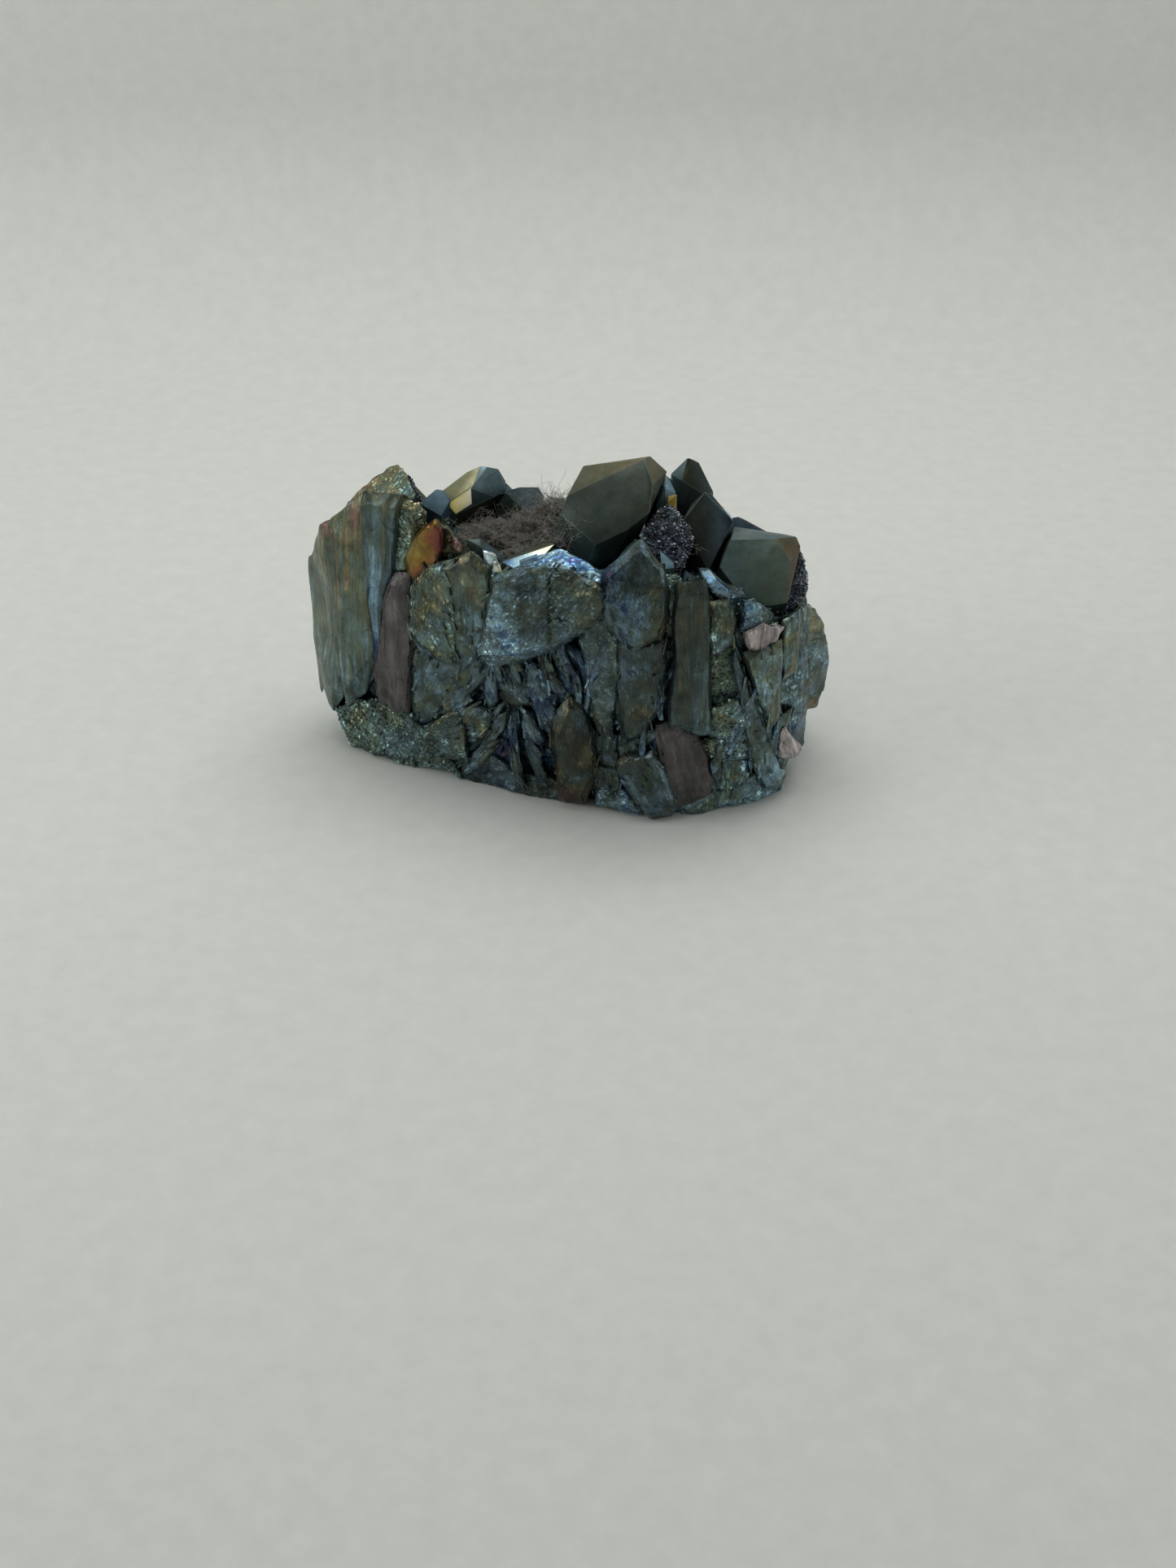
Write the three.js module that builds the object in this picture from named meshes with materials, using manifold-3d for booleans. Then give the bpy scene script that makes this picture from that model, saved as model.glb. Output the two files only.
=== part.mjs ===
// Cluster of quartz points under an iridescent metal coat, broken out of its vein.
// Millimetres, +Z up. The broken wall of shafts faces -Y, the points stand on top,
// and the cluster rests on its flat root at z = 0.

import * as THREE from 'three';
import { ConvexGeometry } from 'three/addons/geometries/ConvexGeometry.js';
import { mergeVertices } from 'three/addons/utils/BufferGeometryUtils.js';
import Module from 'manifold-3d';

const wasm = await Module();
wasm.setup();

// The outlines below are measured from a mark on the root. This shift puts the
// origin under the middle of the whole cluster.
const MARK = [0.83, -1.65, 0];

// Plan of the broken front wall as x, y, from the left end round to the right.
const WALL_PLAN = [
  [-46, 12], [-42, 6], [-20, -5], [-5, -12], [14, -18], [30, -15], [40, -9], [46, 2],
];

// Plan of the far side as x, y, from the right end round the back to the left.
const BACK_PLAN = [
  [43.2, 3], [41, 11], [33.5, 17.5], [20, 21.5], [2, 23.5], [-16, 23], [-31, 21], [-40, 18],
  [-43.8, 13],
];

// The wall leans: a point set back from it sinks by this share of the setback.
const WALL_LEAN = 0.577;
const SHARD_BACK = 7;
const SHARD_BACK_SHARE = 0.5;
const SHARD_SPREAD = 1.05;
const SHARD_WAIST = 0.68;
const SHARD_ROUGHNESS = 0.35;

// Quartz habit: the pyramid faces' normals stand this far from the long axis.
const PYRAMID_ANGLE = THREE.MathUtils.degToRad(51.8);
const PYRAMID_SLOPE = Math.tan(PYRAMID_ANGLE);
const FACES_AROUND = 6;
const FOOT_TAPER = 0.9;
// How far the edges under the three smaller faces sit below the others, as a share
// of the pyramid's height, and the short ridge that takes the place of a sharp tip.
const SMALL_FACE_DROP = 0.3;
const TIP_RIDGE = [[0.12, 0, 1], [-0.1, 0.1, 0.995]];

// The body behind the wall: how deep it sits under the shards, how much its ends
// draw in towards the flat root, how its top rounds off, and its blocks as left
// end, right end and top.
const SKIN = 1.1;
const ROOT_LENGTH_SHARE = 0.91;
const ROOT_DEPTH_SHARE = 0.98;
const BELT_SHARE = 0.4;
const TOP_ROUNDING = 3;
const BODY_BLOCKS = [
  [-43.5, -22, 43],
  [-28, 10, 38],
  [4, 30, 42.5],
  [22, 41.5, 37],
];

// The level ground that the root is worn down to.
const GROUND_REACH = 60;
const GROUND_DEPTH = 20;

// Edges and steps finer than this are left out.
const SMALLEST_FEATURE = 0.09;
const WELD = 1e-4;

const COAT = new THREE.MeshStandardMaterial({ color: 0x3c4a50, roughness: 0.32, metalness: 0.85 });

// Shards of the broken wall. Each outline is x, z on the wall, with an optional
// third number that sets the corner back. proud is how far the shard stands out,
// and belly how much further its middle does.
const SHARDS = [
  // Striated shafts at the left end
  { proud: 0.3, belly: 0.5, outline: [[-46.3, 20], [-46.1, 32.7], [-44.8, 34.5], [-43, 30],
    [-43.5, 16], [-45.6, 9.5]] },
  { proud: 1, belly: 1.1, outline: [[-45.2, 34], [-44.3, 37], [-42, 41.5], [-40, 42.8],
    [-38.4, 44], [-38.5, 30], [-40.2, 14], [-42.5, 9], [-45, 12]] },
  { proud: 1.7, belly: 0.8, outline: [[-40.3, 24], [-40, 42.8], [-36.5, 46.5], [-34.5, 49],
    [-33.8, 40], [-34.2, 20], [-36.2, 14.5], [-39.8, 11]] },
  { proud: 1.3, belly: 1, outline: [[-35.4, 48.5], [-34, 49.7], [-28.3, 50.5], [-30, 47],
    [-31, 42], [-31.8, 38], [-32.2, 26], [-33.5, 19], [-35, 17], [-35.2, 30]] },
  { proud: 0.9, belly: 0.4, outline: [[-42.7, 14], [-41, 14.5], [-40.3, 12], [-40.8, 10],
    [-42.3, 10.5]] },

  // Granular shoulder and bare violet column beside them
  { proud: 0, belly: 0.8, outline: [[-30.4, 50], [-25.6, 50.6], [-24.8, 49.8], [-25.8, 47],
    [-27.3, 42], [-27.5, 37.8], [-30.5, 35.5], [-31.2, 40.6]] },
  { proud: 1.6, belly: 1.1, outline: [[-30.8, 35.5], [-27.5, 36.2], [-26.6, 27], [-28, 21],
    [-28.2, 11.5], [-31, 9.5], [-33.6, 13], [-33.8, 18], [-32, 23]] },

  // Gold fragment with its side, and the chunks under it
  { proud: 1.4, belly: 0.9, outline: [[-22.7, 49.3], [-24.3, 47.5], [-25.6, 44.5], [-27.7, 41],
    [-27.3, 39], [-26, 36.8], [-24.6, 39], [-22.3, 40.7], [-21.7, 44], [-21.8, 48]] },
  { proud: -1, belly: 0.8, outline: [[-22, 49], [-20.5, 49], [-18.3, 46.3], [-17.2, 43],
    [-19, 40.5], [-22.5, 40.5]] },
  { proud: 2.2, belly: 1.6, outline: [[-26, 37], [-23, 40], [-19.6, 41.6], [-19, 34],
    [-19.5, 24.5], [-22, 24], [-25, 25], [-27, 28]] },
  { proud: 2.2, belly: 1.2, outline: [[-20.6, 41.2], [-16, 44], [-13.7, 42], [-13.6, 38],
    [-15, 32], [-16, 26], [-18, 23.5], [-20, 26]] },
  { proud: 1.4, belly: 0.6, outline: [[-14, 46], [-12.5, 45.8], [-11.4, 42.3], [-12.6, 39],
    [-13.8, 42.5]] },

  // Big crinkled wedge, split by a crack, with the ledge that runs back from it
  { proud: 3, belly: 1.6, outline: [[-12.5, 40.5], [-9, 42.5], [-3.8, 43.8], [-3.3, 36],
    [-3.2, 30.5], [-8, 27.7], [-13, 25.5], [-15.5, 25], [-15, 30], [-13.3, 36]] },
  { proud: 2.8, belly: 1.2, outline: [[-3.7, 43.8], [0, 44.5], [4, 43], [6, 41], [5.5, 38],
    [2, 35], [-2, 31], [-3.5, 30.5]] },
  { proud: 1.6, belly: 0.4, outline: [[-2.2, 48.3, 6], [0, 46.8, 3], [3.5, 46, 2], [5.8, 44.6, 1],
    [6.2, 41.5], [0, 43.6], [-5, 43.6], [-11, 41.4], [-9.2, 43.4, 2], [-6, 46, 5]] },

  // Teal blocks and dark hollow under the wedge
  { proud: 1, belly: 0.9, outline: [[-26.5, 24.5], [-22, 24.6], [-18, 24], [-15.8, 25], [-15, 21],
    [-18.5, 17], [-22, 12], [-26, 9], [-27, 13]] },
  { proud: 1.6, belly: 0.4, outline: [[-21.7, 17.5], [-18, 18.5], [-17, 16], [-20, 13],
    [-22, 12.5]] },
  { proud: 0.3, belly: 0.6, outline: [[-15.5, 25], [-9, 26.8], [-6.5, 24], [-7, 18], [-10, 17],
    [-15, 19]] },
  { proud: 1.8, belly: 1, outline: [[-25, 8], [-21, 12], [-19.2, 13.2], [-18.4, 8], [-18.5, 3.5],
    [-22, 3], [-24.5, 5]] },
  { proud: 1.3, belly: 0.8, outline: [[-19.6, 13], [-17, 15], [-14, 14.5], [-14.5, 9.5], [-17, 7],
    [-18.6, 7.5]] },
  { proud: -0.8, belly: 0.6, outline: [[-16.5, 17], [-12, 18], [-9.5, 15], [-9.5, 6], [-13, 4],
    [-16, 6]] },
  { proud: 1.2, belly: 0.7, outline: [[-7, 26.5], [-4.5, 26.5], [-2.2, 22.5], [-2.5, 16],
    [-3.5, 13.5], [-5.5, 17], [-6.8, 21.5]] },
  { proud: 1.6, belly: 0.5, outline: [[-8, 16.7], [-6.3, 16], [-4.4, 12.7], [-4.3, 11.3],
    [-6.4, 10.5], [-8, 13]] },
  { proud: 0.5, belly: 0.5, outline: [[-7.5, 10.5], [-5.5, 11], [-3.8, 3], [-5.5, 2.5]] },
  { proud: 0.7, belly: 0.3, outline: [[-10, 7.5], [-8.8, 5], [-9, 3], [-10.3, 2.6], [-10.4, 5.3]] },

  // Grainy rim along the bottom left
  { proud: 0.8, belly: 0.8, outline: [[-41.7, 6.5], [-38, 9.2], [-34, 9.8], [-33, 4], [-34, 0],
    [-39.5, 0], [-41, 3]] },
  { proud: 1.2, belly: 0.9, outline: [[-35, 9.5], [-30, 10.5], [-27, 9], [-27, 3], [-28, 0],
    [-35, 0]] },
  { proud: 1.2, belly: 0.7, outline: [[-28, 9], [-25, 7.4], [-22, 3], [-20, 0.3], [-28.5, 0]] },

  // Brown column, blue fan and granular column in the middle
  { proud: 1.8, belly: 1.3, outline: [[-2.5, 16], [-0.5, 20], [2.5, 19], [4.2, 15], [4, 8],
    [2.5, 1], [-1, 1.5], [-0.5, 4], [-2, 9], [-2.7, 12]] },
  { proud: 0.3, belly: 0.8, outline: [[-2, 29], [0, 31], [2.5, 30], [3.5, 26], [4.2, 19], [0, 17],
    [-2.2, 21]] },
  { proud: 1.5, belly: 0.9, outline: [[2, 35], [6, 38], [8, 33], [8, 24], [7.3, 15.5], [5.5, 17],
    [4, 21], [3.5, 28]] },
  { proud: 0.6, belly: 0.7, outline: [[3.8, 16], [8, 15], [8.3, 9], [6, 8], [4, 9]] },

  // Pointed column and the tall shafts right of it
  { proud: 2.4, belly: 1.7, outline: [[11.7, 51.8, 4], [8, 47.8, 2.5], [5.8, 45, 1], [5.7, 40.5],
    [7, 36.5], [9.5, 34], [12, 33.5], [15, 35.5], [16, 39], [15.5, 44, 1], [14.5, 48, 2.5]] },
  { proud: 1.9, belly: 1.3, outline: [[8.3, 33], [8.3, 27], [8.8, 21], [9.3, 15], [12, 17.3],
    [15, 22], [15.2, 27], [16, 34], [12, 33.9]] },
  { proud: -0.8, belly: 0.4, outline: [[15, 40], [18.2, 40], [18, 30], [17.6, 17], [15, 17],
    [15.3, 27]] },
  { proud: 0.3, belly: 0.7, outline: [[13, 46, 1], [17.7, 46, 1], [18.3, 41], [17.8, 36],
    [16, 36], [15, 40]] },
  { proud: 1.8, belly: 1.2, outline: [[17.8, 43], [22.2, 43.5], [22.5, 36], [23.5, 24],
    [23.8, 17.5], [20, 17.5], [17, 18], [17.5, 26], [18, 36]] },
  { proud: -1, belly: 0.5, outline: [[19.3, 47, 1], [20.8, 45.5], [20.9, 43.5], [19.7, 42],
    [18.6, 43]] },
  { proud: 0.6, belly: 0.4, outline: [[21.7, 47.2, 2], [23.2, 47, 2], [24, 45.4, 1], [26.4, 42],
    [25.7, 40], [24.5, 41], [22.5, 44.5]] },

  // Stub, druse and slanting blade right of the shafts
  { proud: 1.6, belly: 1, outline: [[22.6, 41], [25.7, 40], [27.2, 36.5], [27, 32.5],
    [25.5, 31.5], [23.2, 31], [22.8, 36]] },
  { proud: 0.1, belly: 0.7, outline: [[23.3, 31.2], [27.5, 31.5], [28.5, 28], [28, 22],
    [24, 21.5], [23.4, 26]] },
  { proud: 1.3, belly: 1.1, outline: [[24, 21], [28, 22], [29.6, 18], [29.7, 16.4], [26, 15],
    [23.5, 16.5]] },
  { proud: 1, belly: 0.9, outline: [[23.5, 15], [30, 16], [32, 12], [31, 10], [26, 9.8],
    [23.5, 11.5]] },
  { proud: 1.7, belly: 0.8, outline: [[28, 30], [29.7, 23], [32, 17.5], [33.3, 12.5], [31, 11],
    [30.1, 14.3], [29.4, 19], [27.3, 27]] },
  { proud: 1.7, belly: 0.7, outline: [[30.6, 13], [33.3, 12.5], [34.8, 8.5], [36.8, 3.8],
    [36.2, 2.2], [34, 2.3], [30.9, 9.3]] },
  { proud: 0.8, belly: 0.8, outline: [[28.7, 39.8], [31.9, 38.5], [33.7, 36.5], [33, 34.5],
    [30, 34], [28.5, 35]] },
  { proud: 1.7, belly: 0.7, outline: [[29.3, 34], [32, 35.5], [35.5, 33.5], [34.5, 31.8],
    [31.8, 31], [30.3, 31.5]] },
  { proud: 1.5, belly: 1, outline: [[29.8, 29.5], [31.8, 31], [35.6, 30.5], [35.9, 27.3],
    [35.4, 24.5], [35.2, 20], [35.3, 17], [33.5, 15], [32.5, 19], [31, 24]] },
  { proud: 0.6, belly: 0.7, outline: [[36, 34], [38.8, 35], [38.8, 31], [38.3, 24.5], [36.3, 24],
    [35.8, 28]] },

  // Slips under the rounded chunk at the right end
  { proud: 0.3, belly: 0.6, outline: [[33.5, 15], [38, 16.5], [37.5, 10], [36, 8], [34.8, 9]] },
  { proud: 1.2, belly: 0.4, outline: [[36.2, 12.5], [37.2, 13.3], [38.6, 10.4], [40, 8.2],
    [39.4, 7.4], [37.4, 8.8], [36.1, 8.6]] },

  // Violet column, teal wedge and lumps along the bottom
  { proud: 1.6, belly: 0.9, outline: [[15, 17.5], [18, 17.5], [21.2, 15], [22.6, 13.3],
    [23.6, 10.8], [24.1, 6], [23.7, 4.2], [20.6, 3], [17.7, 2.2], [17, 5.5], [15.2, 13.8]] },
  { proud: 1.6, belly: 1.1, outline: [[8.7, 9.3], [10.1, 10.7], [13.9, 12.8], [16.9, 7.8],
    [17.8, 2.3], [16.9, 0], [13.9, 0], [12, 2], [8.7, 7.7]] },
  { proud: 0.2, belly: 0.6, outline: [[8.5, 15.5], [12, 17.5], [15.3, 17], [15, 12], [10, 10.5],
    [8.5, 10]] },
  { proud: 0.8, belly: 0.7, outline: [[4, 8.5], [8.5, 8], [9, 4.5], [6.5, 2.5], [4, 4]] },
  { proud: 0.9, belly: 0.6, outline: [[5, 4], [8.5, 5], [12, 1.5], [11, 0], [5, 0]] },
  { proud: 0.8, belly: 0.8, outline: [[24.3, 10], [28, 10.5], [30, 9], [30.3, 5], [28, 3.5],
    [24.5, 4]] },
  { proud: 0.9, belly: 0.4, outline: [[26.5, 4.8], [30, 4.5], [30, 0.2], [26.5, 0.2]] },
  { proud: 0.4, belly: 0.5, outline: [[30, 5.4], [34, 5.6], [37, 5], [37.4, 0.2], [30, 0]] },
  { proud: 0.3, belly: 0.6, outline: [[17.6, 2.8], [22, 3.6], [26.6, 3.8], [26.4, 0], [17.4, 0]] },
  { proud: 0.2, belly: 0.6, outline: [[-20, 4.5], [-14, 6], [-9, 3.5], [-9, 0], [-20.5, 0]] },
  { proud: 0.3, belly: 0.6, outline: [[-9.4, 3.5], [-4, 4.5], [-0.6, 3], [2, 0], [-9.4, 0]] },
];

// Crystal points seen from the front, as the corners of their crowns. lean is the
// direction of the shaft and root how far it runs down from the crown.
const POINTS = [
  // Great dark point
  { lean: [0.3, -0.22, 0.92], root: 16, crown: [[12.6, 3, 57.5], [-0.3, 1.7, 51.4],
    [-1.4, -0.2, 48.8], [4.5, -4.8, 45.6], [9.8, -4.2, 48.1], [13.4, -3.1, 50.7],
    [13.9, -0.1, 54.3], [2.4, 8, 53.9], [13.6, 5, 57.1], [16.5, 6, 53.8], [14.6, 2, 51.4],
    [3.5, 13, 49.5], [13.5, 13, 50.5]] },
  // Broad blunt point at the right
  { lean: [0.12, -0.42, 0.9], root: 13, crown: [[26.9, -4.3, 46.3], [34.7, -3.8, 46.3],
    [37, -5.7, 43], [36.5, -9.3, 37.1], [31, -10, 36.4], [27.6, -8.4, 39.5], [25.1, -6.7, 42.4],
    [38.2, -1, 45.1], [38.9, -2, 43.8], [37.9, -4, 39.9], [28, 3, 45], [37, 4, 43], [26, 0, 43],
    [38.5, 3, 40]] },
  // Dark pyramid between them
  { lean: [0.1, -0.12, 0.98], root: 12, crown: [[22.7, 2, 51.9], [19, -0.4, 47.7],
    [23.3, -5.5, 41.1], [27.5, -1.2, 48.1], [23.9, 1.9, 51.6], [19.1, 2, 46.5], [27.3, 3.6, 46.9],
    [25, 8, 46], [21, 8, 47]] },
  // Low point behind the blunt one
  { lean: [0.2, -0.1, 0.97], root: 10, crown: [[27.2, 5.4, 45.3], [28.8, 5.9, 45.4],
    [33.7, 5.1, 43], [34, 4.4, 42.2], [27.5, 2.9, 42.6], [26.2, 1.2, 41.1], [30, 10, 43],
    [34, 10, 40.5]] },
  // Point behind the pyramid
  { lean: [0.05, 0.1, 0.99], root: 14, crown: [[20.2, 11, 54], [17.4, 11.2, 50.9],
    [17.7, 10.4, 50.3], [19.2, 8.6, 50.9], [21, 11, 53.7], [22.1, 11.3, 53], [24.7, 9.8, 48.1],
    [23.5, 9, 47.8], [19, 15, 49], [24, 15, 47]] },
  // Low point in the notch beside the great one, and the slip in front of it
  { lean: [0.1, 0, 1], root: 9, crown: [[15.3, 5.2, 52.6], [16.2, 6.2, 53.2], [17.1, 5.6, 52.1],
    [18, 5, 50.3], [17.8, 4, 48.3], [15.8, 2.4, 47.3], [14.6, 3, 48.8], [16.2, 3.6, 51.9],
    [17.5, 9, 50.8], [15.6, 9, 51.1]] },
  { lean: [0, 0.2, 0.98], root: 5, crown: [[16.6, 1.6, 51.3], [18.1, 1.9, 51.6],
    [17.7, 1.2, 49.6], [16.5, 1.2, 50.6], [17.5, 3.5, 50.1]] },
  // Small blue tip, long lying point and grey point at the left
  { lean: [-0.1, -0.1, 0.98], root: 10, crown: [[-22.8, 10, 48.6], [-25.9, 9.3, 46.2],
    [-21.9, 6.6, 45.1], [-20.5, 7.8, 47.2], [-21.6, 9.5, 48.6], [-24, 13, 45], [-20, 13, 45]] },
  { lean: [0.25, -0.1, 0.96], root: 11, crown: [[-21.9, 11.4, 47.6], [-17.6, 13.2, 50.3],
    [-15.4, 13.8, 51.1], [-14.2, 14, 50.9], [-12.3, 14.6, 50.2], [-11.1, 14.6, 47.9],
    [-11.1, 13.2, 46.7], [-12.9, 11.6, 46.4], [-16.9, 9.6, 49], [-20.3, 8.2, 47.2],
    [-20.6, 7.9, 46.4], [-19.4, 7.6, 45.1], [-16.8, 9.2, 46.2], [-20, 16, 46],
    [-13, 17, 48]] },
  { lean: [0.1, -0.1, 0.98], root: 10, crown: [[-8.6, 12.4, 47.8], [-5.4, 13, 47.5],
    [-4.4, 12.2, 46.2], [-4.6, 10.7, 44.8], [-6.4, 9, 43.5], [-9.2, 10.3, 45.7],
    [-11.2, 11.4, 47.5], [-6, 16, 45], [-10, 16, 45.5]] },
  // Bright lying face over the wedge and two slips beside the pointed column
  { lean: [0.05, -0.3, 0.95], root: 13, crown: [[-2.3, -2.9, 44.8], [-11.4, -4.1, 42],
    [-8.9, -5.9, 41.5], [-5.1, -5.3, 42.7], [-3.8, -3.7, 44], [-4, -0.5, 44.2], [-9, -1, 42]] },
  { lean: [0, 0, 1], root: 14, crown: [[15, -7.9, 46.2], [17.3, -9.2, 44.4], [17.5, -9.7, 43.8],
    [15.3, -10, 43.8], [15, -6, 44], [17.5, -6, 43]] },
  // Termination of the striated shafts
  { lean: [-0.1, 0.1, 0.99], root: 14, crown: [[-30.4, 7, 54.1], [-32.4, 6.7, 52.7],
    [-35.3, 5.5, 50.2], [-38.2, 4, 47.4], [-38.4, 2.6, 46.1], [-33.8, 1.6, 48.8],
    [-27.5, -1.5, 50.2], [-26, 0.1, 52.2], [-27.4, 3.5, 53.6], [-29.1, 6.2, 54.4], [-28, 10, 50],
    [-36, 10, 46], [-41.5, 8, 41]] },
  // Rounded chunk at the right end, in two, and the slip below it
  { lean: [0.4, -0.85, 0.1], root: 10, crown: [[39.2, -4.5, 33], [41, -2.5, 32.6],
    [42.3, -1, 31.3], [43.9, 0, 27.6], [44.2, 0, 25.8], [41, -4, 25], [39, -6.5, 25.4],
    [38.6, -6.5, 29.5], [40.6, -5.2, 28.5]] },
  { lean: [0.45, -0.85, 0], root: 10, crown: [[39, -6, 26.5], [42.5, -2.5, 26], [44.3, 0, 26],
    [44.7, 0, 23], [44.5, 0, 18.6], [43.8, -1, 14.6], [43.2, -1.5, 12], [41, -4, 12.4],
    [38, -7, 14.4], [37, -8, 20.3], [38.3, -7.3, 25], [40.6, -6.3, 20]] },
  { lean: [0.45, -0.85, 0], root: 9, crown: [[39.6, -5, 13.2], [41.5, -3, 11.6], [41.8, -3, 9.6],
    [41.5, -3, 5.7], [40.2, -4, 4.2], [39, -6, 8], [39, -6, 12]] },
];

// Regular points on the back of the top: foot, tip, breadth across and turn.
const BACK_POINTS = [
  { foot: [-34, 13, 30], tip: [-36.5, 16.5, 42.5], breadth: 8.5, turn: 0.2 },
  { foot: [-27, 15, 28], tip: [-28, 18.5, 45.5], breadth: 9.5, turn: 0.6 },
  { foot: [-18.5, 18, 28], tip: [-18, 22, 40.5], breadth: 6.5, turn: 0.1 },
  { foot: [-10.5, 17, 28], tip: [-9.5, 21.5, 42.5], breadth: 9, turn: 0.9 },
  { foot: [-2, 18, 28], tip: [-0.5, 22, 39], breadth: 6, turn: 0.4 },
  { foot: [6.5, 16, 28], tip: [9, 21.5, 43.5], breadth: 10.5, turn: 0.75 },
  { foot: [16.5, 17, 28], tip: [18.5, 21, 41.5], breadth: 6.5, turn: 0.3 },
  { foot: [24, 13, 28], tip: [26.5, 17, 42], breadth: 9, turn: 0 },
  { foot: [32.5, 9, 26], tip: [36, 13, 37.5], breadth: 7.5, turn: 0.5 },
  { foot: [-39, 12, 24], tip: [-42, 14, 37], breadth: 6.5, turn: 0.5 },
  { foot: [1, 6, 32], tip: [-1.5, 9, 41.5], breadth: 6, turn: 0.7 },
  { foot: [-24, 4, 32], tip: [-23.5, 3, 44.5], breadth: 6, turn: 0.2 },
  { foot: [-14, 3, 32], tip: [-15.5, 3.5, 41.5], breadth: 6, turn: 0.8 },
];

// Young points that fill the top between the others: rows as y, with the range
// of x, their pitch and size, and how far their tips rise over the body.
const YOUNG_ROWS = [
  [2, -20, 32],
  [8, -36, 36],
  [14.5, -38, 34],
];
const YOUNG_PITCH = 6.4;
const YOUNG_BREADTH = [3.6, 5.6];
const YOUNG_RISE = [0.5, 4];
const YOUNG_FOOT = 9;
const YOUNG_STRAY = 2;
const YOUNG_LEAN = 1.5;

// Broken columns down the sides and the back: a tall tier, and a short one on it.
const COLUMN_TIERS = [
  { pitch: 5.2, breadth: [4.5, 10], top: [24, 38], foot: [0, 13], proud: 0 },
  { pitch: 7.5, breadth: [5, 11], top: [7, 19], foot: [0, 2], proud: 0.5 },
];
// Columns stay under a line that falls to the broken right end, as x and height.
const SHOULDER_LINE = [[36, 34.5], [42, 26]];
const COLUMN_WAIST = [0.3, 0.75];
const COLUMN_SLANT = 2.5;
const COLUMN_TUCK = 2.2;
const COLUMN_SET_BACK = 0.8;
const COLUMN_RAGGED = 2;
// How broad its foot, its top and its root inside the body are against its waist.
const COLUMN_FOOT = 0.75;
const COLUMN_TOP = 0.8;
const COLUMN_ROOT = 0.6;
// Front of a column's section as place across and proud, from one flank to the other.
const COLUMN_SECTION = [[-1, -1.2], [-0.5, 0.6], [0.35, 1], [1, -0.8]];

// Druse: a lump of rock under a crust of grains, each grain a six-sided tip. facing
// is the side that the crust covers.
const GRAIN_BREADTH = [1.2, 2];
const GRAIN_SINK = 1.2;
const GRAIN_TILT = 0.5;
const DRUSE_LUMPS = [
  // Rim of the blunt point
  { grains: 46, facing: [0.85, -0.4, 0.3], lump: [[36.5, 4, 42.3], [38.6, 1, 42.3],
    [39.9, -1.5, 41], [40.4, -3, 38.6], [39.8, -5, 35.6], [37.4, -8, 34.4], [35, -9, 34.8],
    [34, 0, 32], [36, 8, 38], [40, 2, 36]] },
  // Pocket between the great point and the pyramid
  { grains: 34, facing: [0.1, -0.8, 0.6], lump: [[14.4, -1.5, 50], [17, -0.5, 50.6],
    [19.8, -2, 48.4], [20.4, -5.2, 44.6], [17.4, -8.4, 42.2], [13.2, -7.6, 43.4],
    [13, -4.6, 47.4], [14, 4, 46], [21, 4, 44], [17, -4, 36]] },
  // Right flank of the termination over the striated shafts, and the shoulder below it
  { grains: 20, facing: [0.8, -0.5, 0.35], lump: [[-28.6, 6, 53.8], [-26.4, 3.4, 53],
    [-25.2, 0.6, 51.4], [-25, -1.4, 49.2], [-27.6, -2, 49.4], [-30, 3, 46], [-25.6, 5, 44]] },
];

// Repeatable random numbers from 0 to 1.
const seedOf = (start) => {
  let state = start;
  return () => {
    state = (state + 0x6d2b79f5) | 0;
    let mixed = Math.imul(state ^ (state >>> 15), 1 | state);
    mixed = (mixed + Math.imul(mixed ^ (mixed >>> 7), 61 | mixed)) ^ mixed;
    return ((mixed ^ (mixed >>> 14)) >>> 0) / 4294967296;
  };
};

const random = seedOf(7);
const between = ([low, high]) => low + (high - low) * random();
const jitter = (amount) => (2 * random() - 1) * amount;
const vector = (point) => new THREE.Vector3(...point);
const UP = new THREE.Vector3(0, 0, 1);
const turnTo = (direction) => new THREE.Quaternion().setFromUnitVectors(UP, direction);

// A closed solid around the given corners.
function hull(corners) {
  const geometry = new ConvexGeometry(corners);
  geometry.deleteAttribute('normal');
  const merged = mergeVertices(geometry, WELD);
  return new wasm.Manifold(new wasm.Mesh({
    numProp: 3,
    vertProperties: Float32Array.from(merged.attributes.position.array),
    triVerts: Uint32Array.from(merged.index.array),
  }));
}

// y of the front wall at x.
function wallAt(x) {
  const last = WALL_PLAN.length - 1;
  const clamped = THREE.MathUtils.clamp(x, WALL_PLAN[0][0], WALL_PLAN[last][0]);
  const right = WALL_PLAN.findIndex(([px], i) => i > 0 && px >= clamped);
  const [x0, y0] = WALL_PLAN[right - 1];
  const [x1, y1] = WALL_PLAN[right];
  return THREE.MathUtils.mapLinear(clamped, x0, x1, y0, y1);
}

// y of the far side at x.
function backAt(x) {
  const curve = [...BACK_PLAN].reverse();
  const right = Math.max(1, curve.findIndex(([px], i) => i > 0 && px >= x));
  const [x0, y0] = curve[right - 1];
  const [x1, y1] = curve[right];
  return THREE.MathUtils.mapLinear(THREE.MathUtils.clamp(x, x0, x1), x0, x1, y0, y1);
}

// Depth of the cluster from the wall to the far side at x.
function thickness(x) {
  return Math.max(0, backAt(x) - wallAt(x));
}

// A corner at x, z on the wall, moved back by setback along the lean.
function onWall(x, z, setback) {
  return new THREE.Vector3(x, wallAt(x) + setback, z - WALL_LEAN * setback);
}

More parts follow.
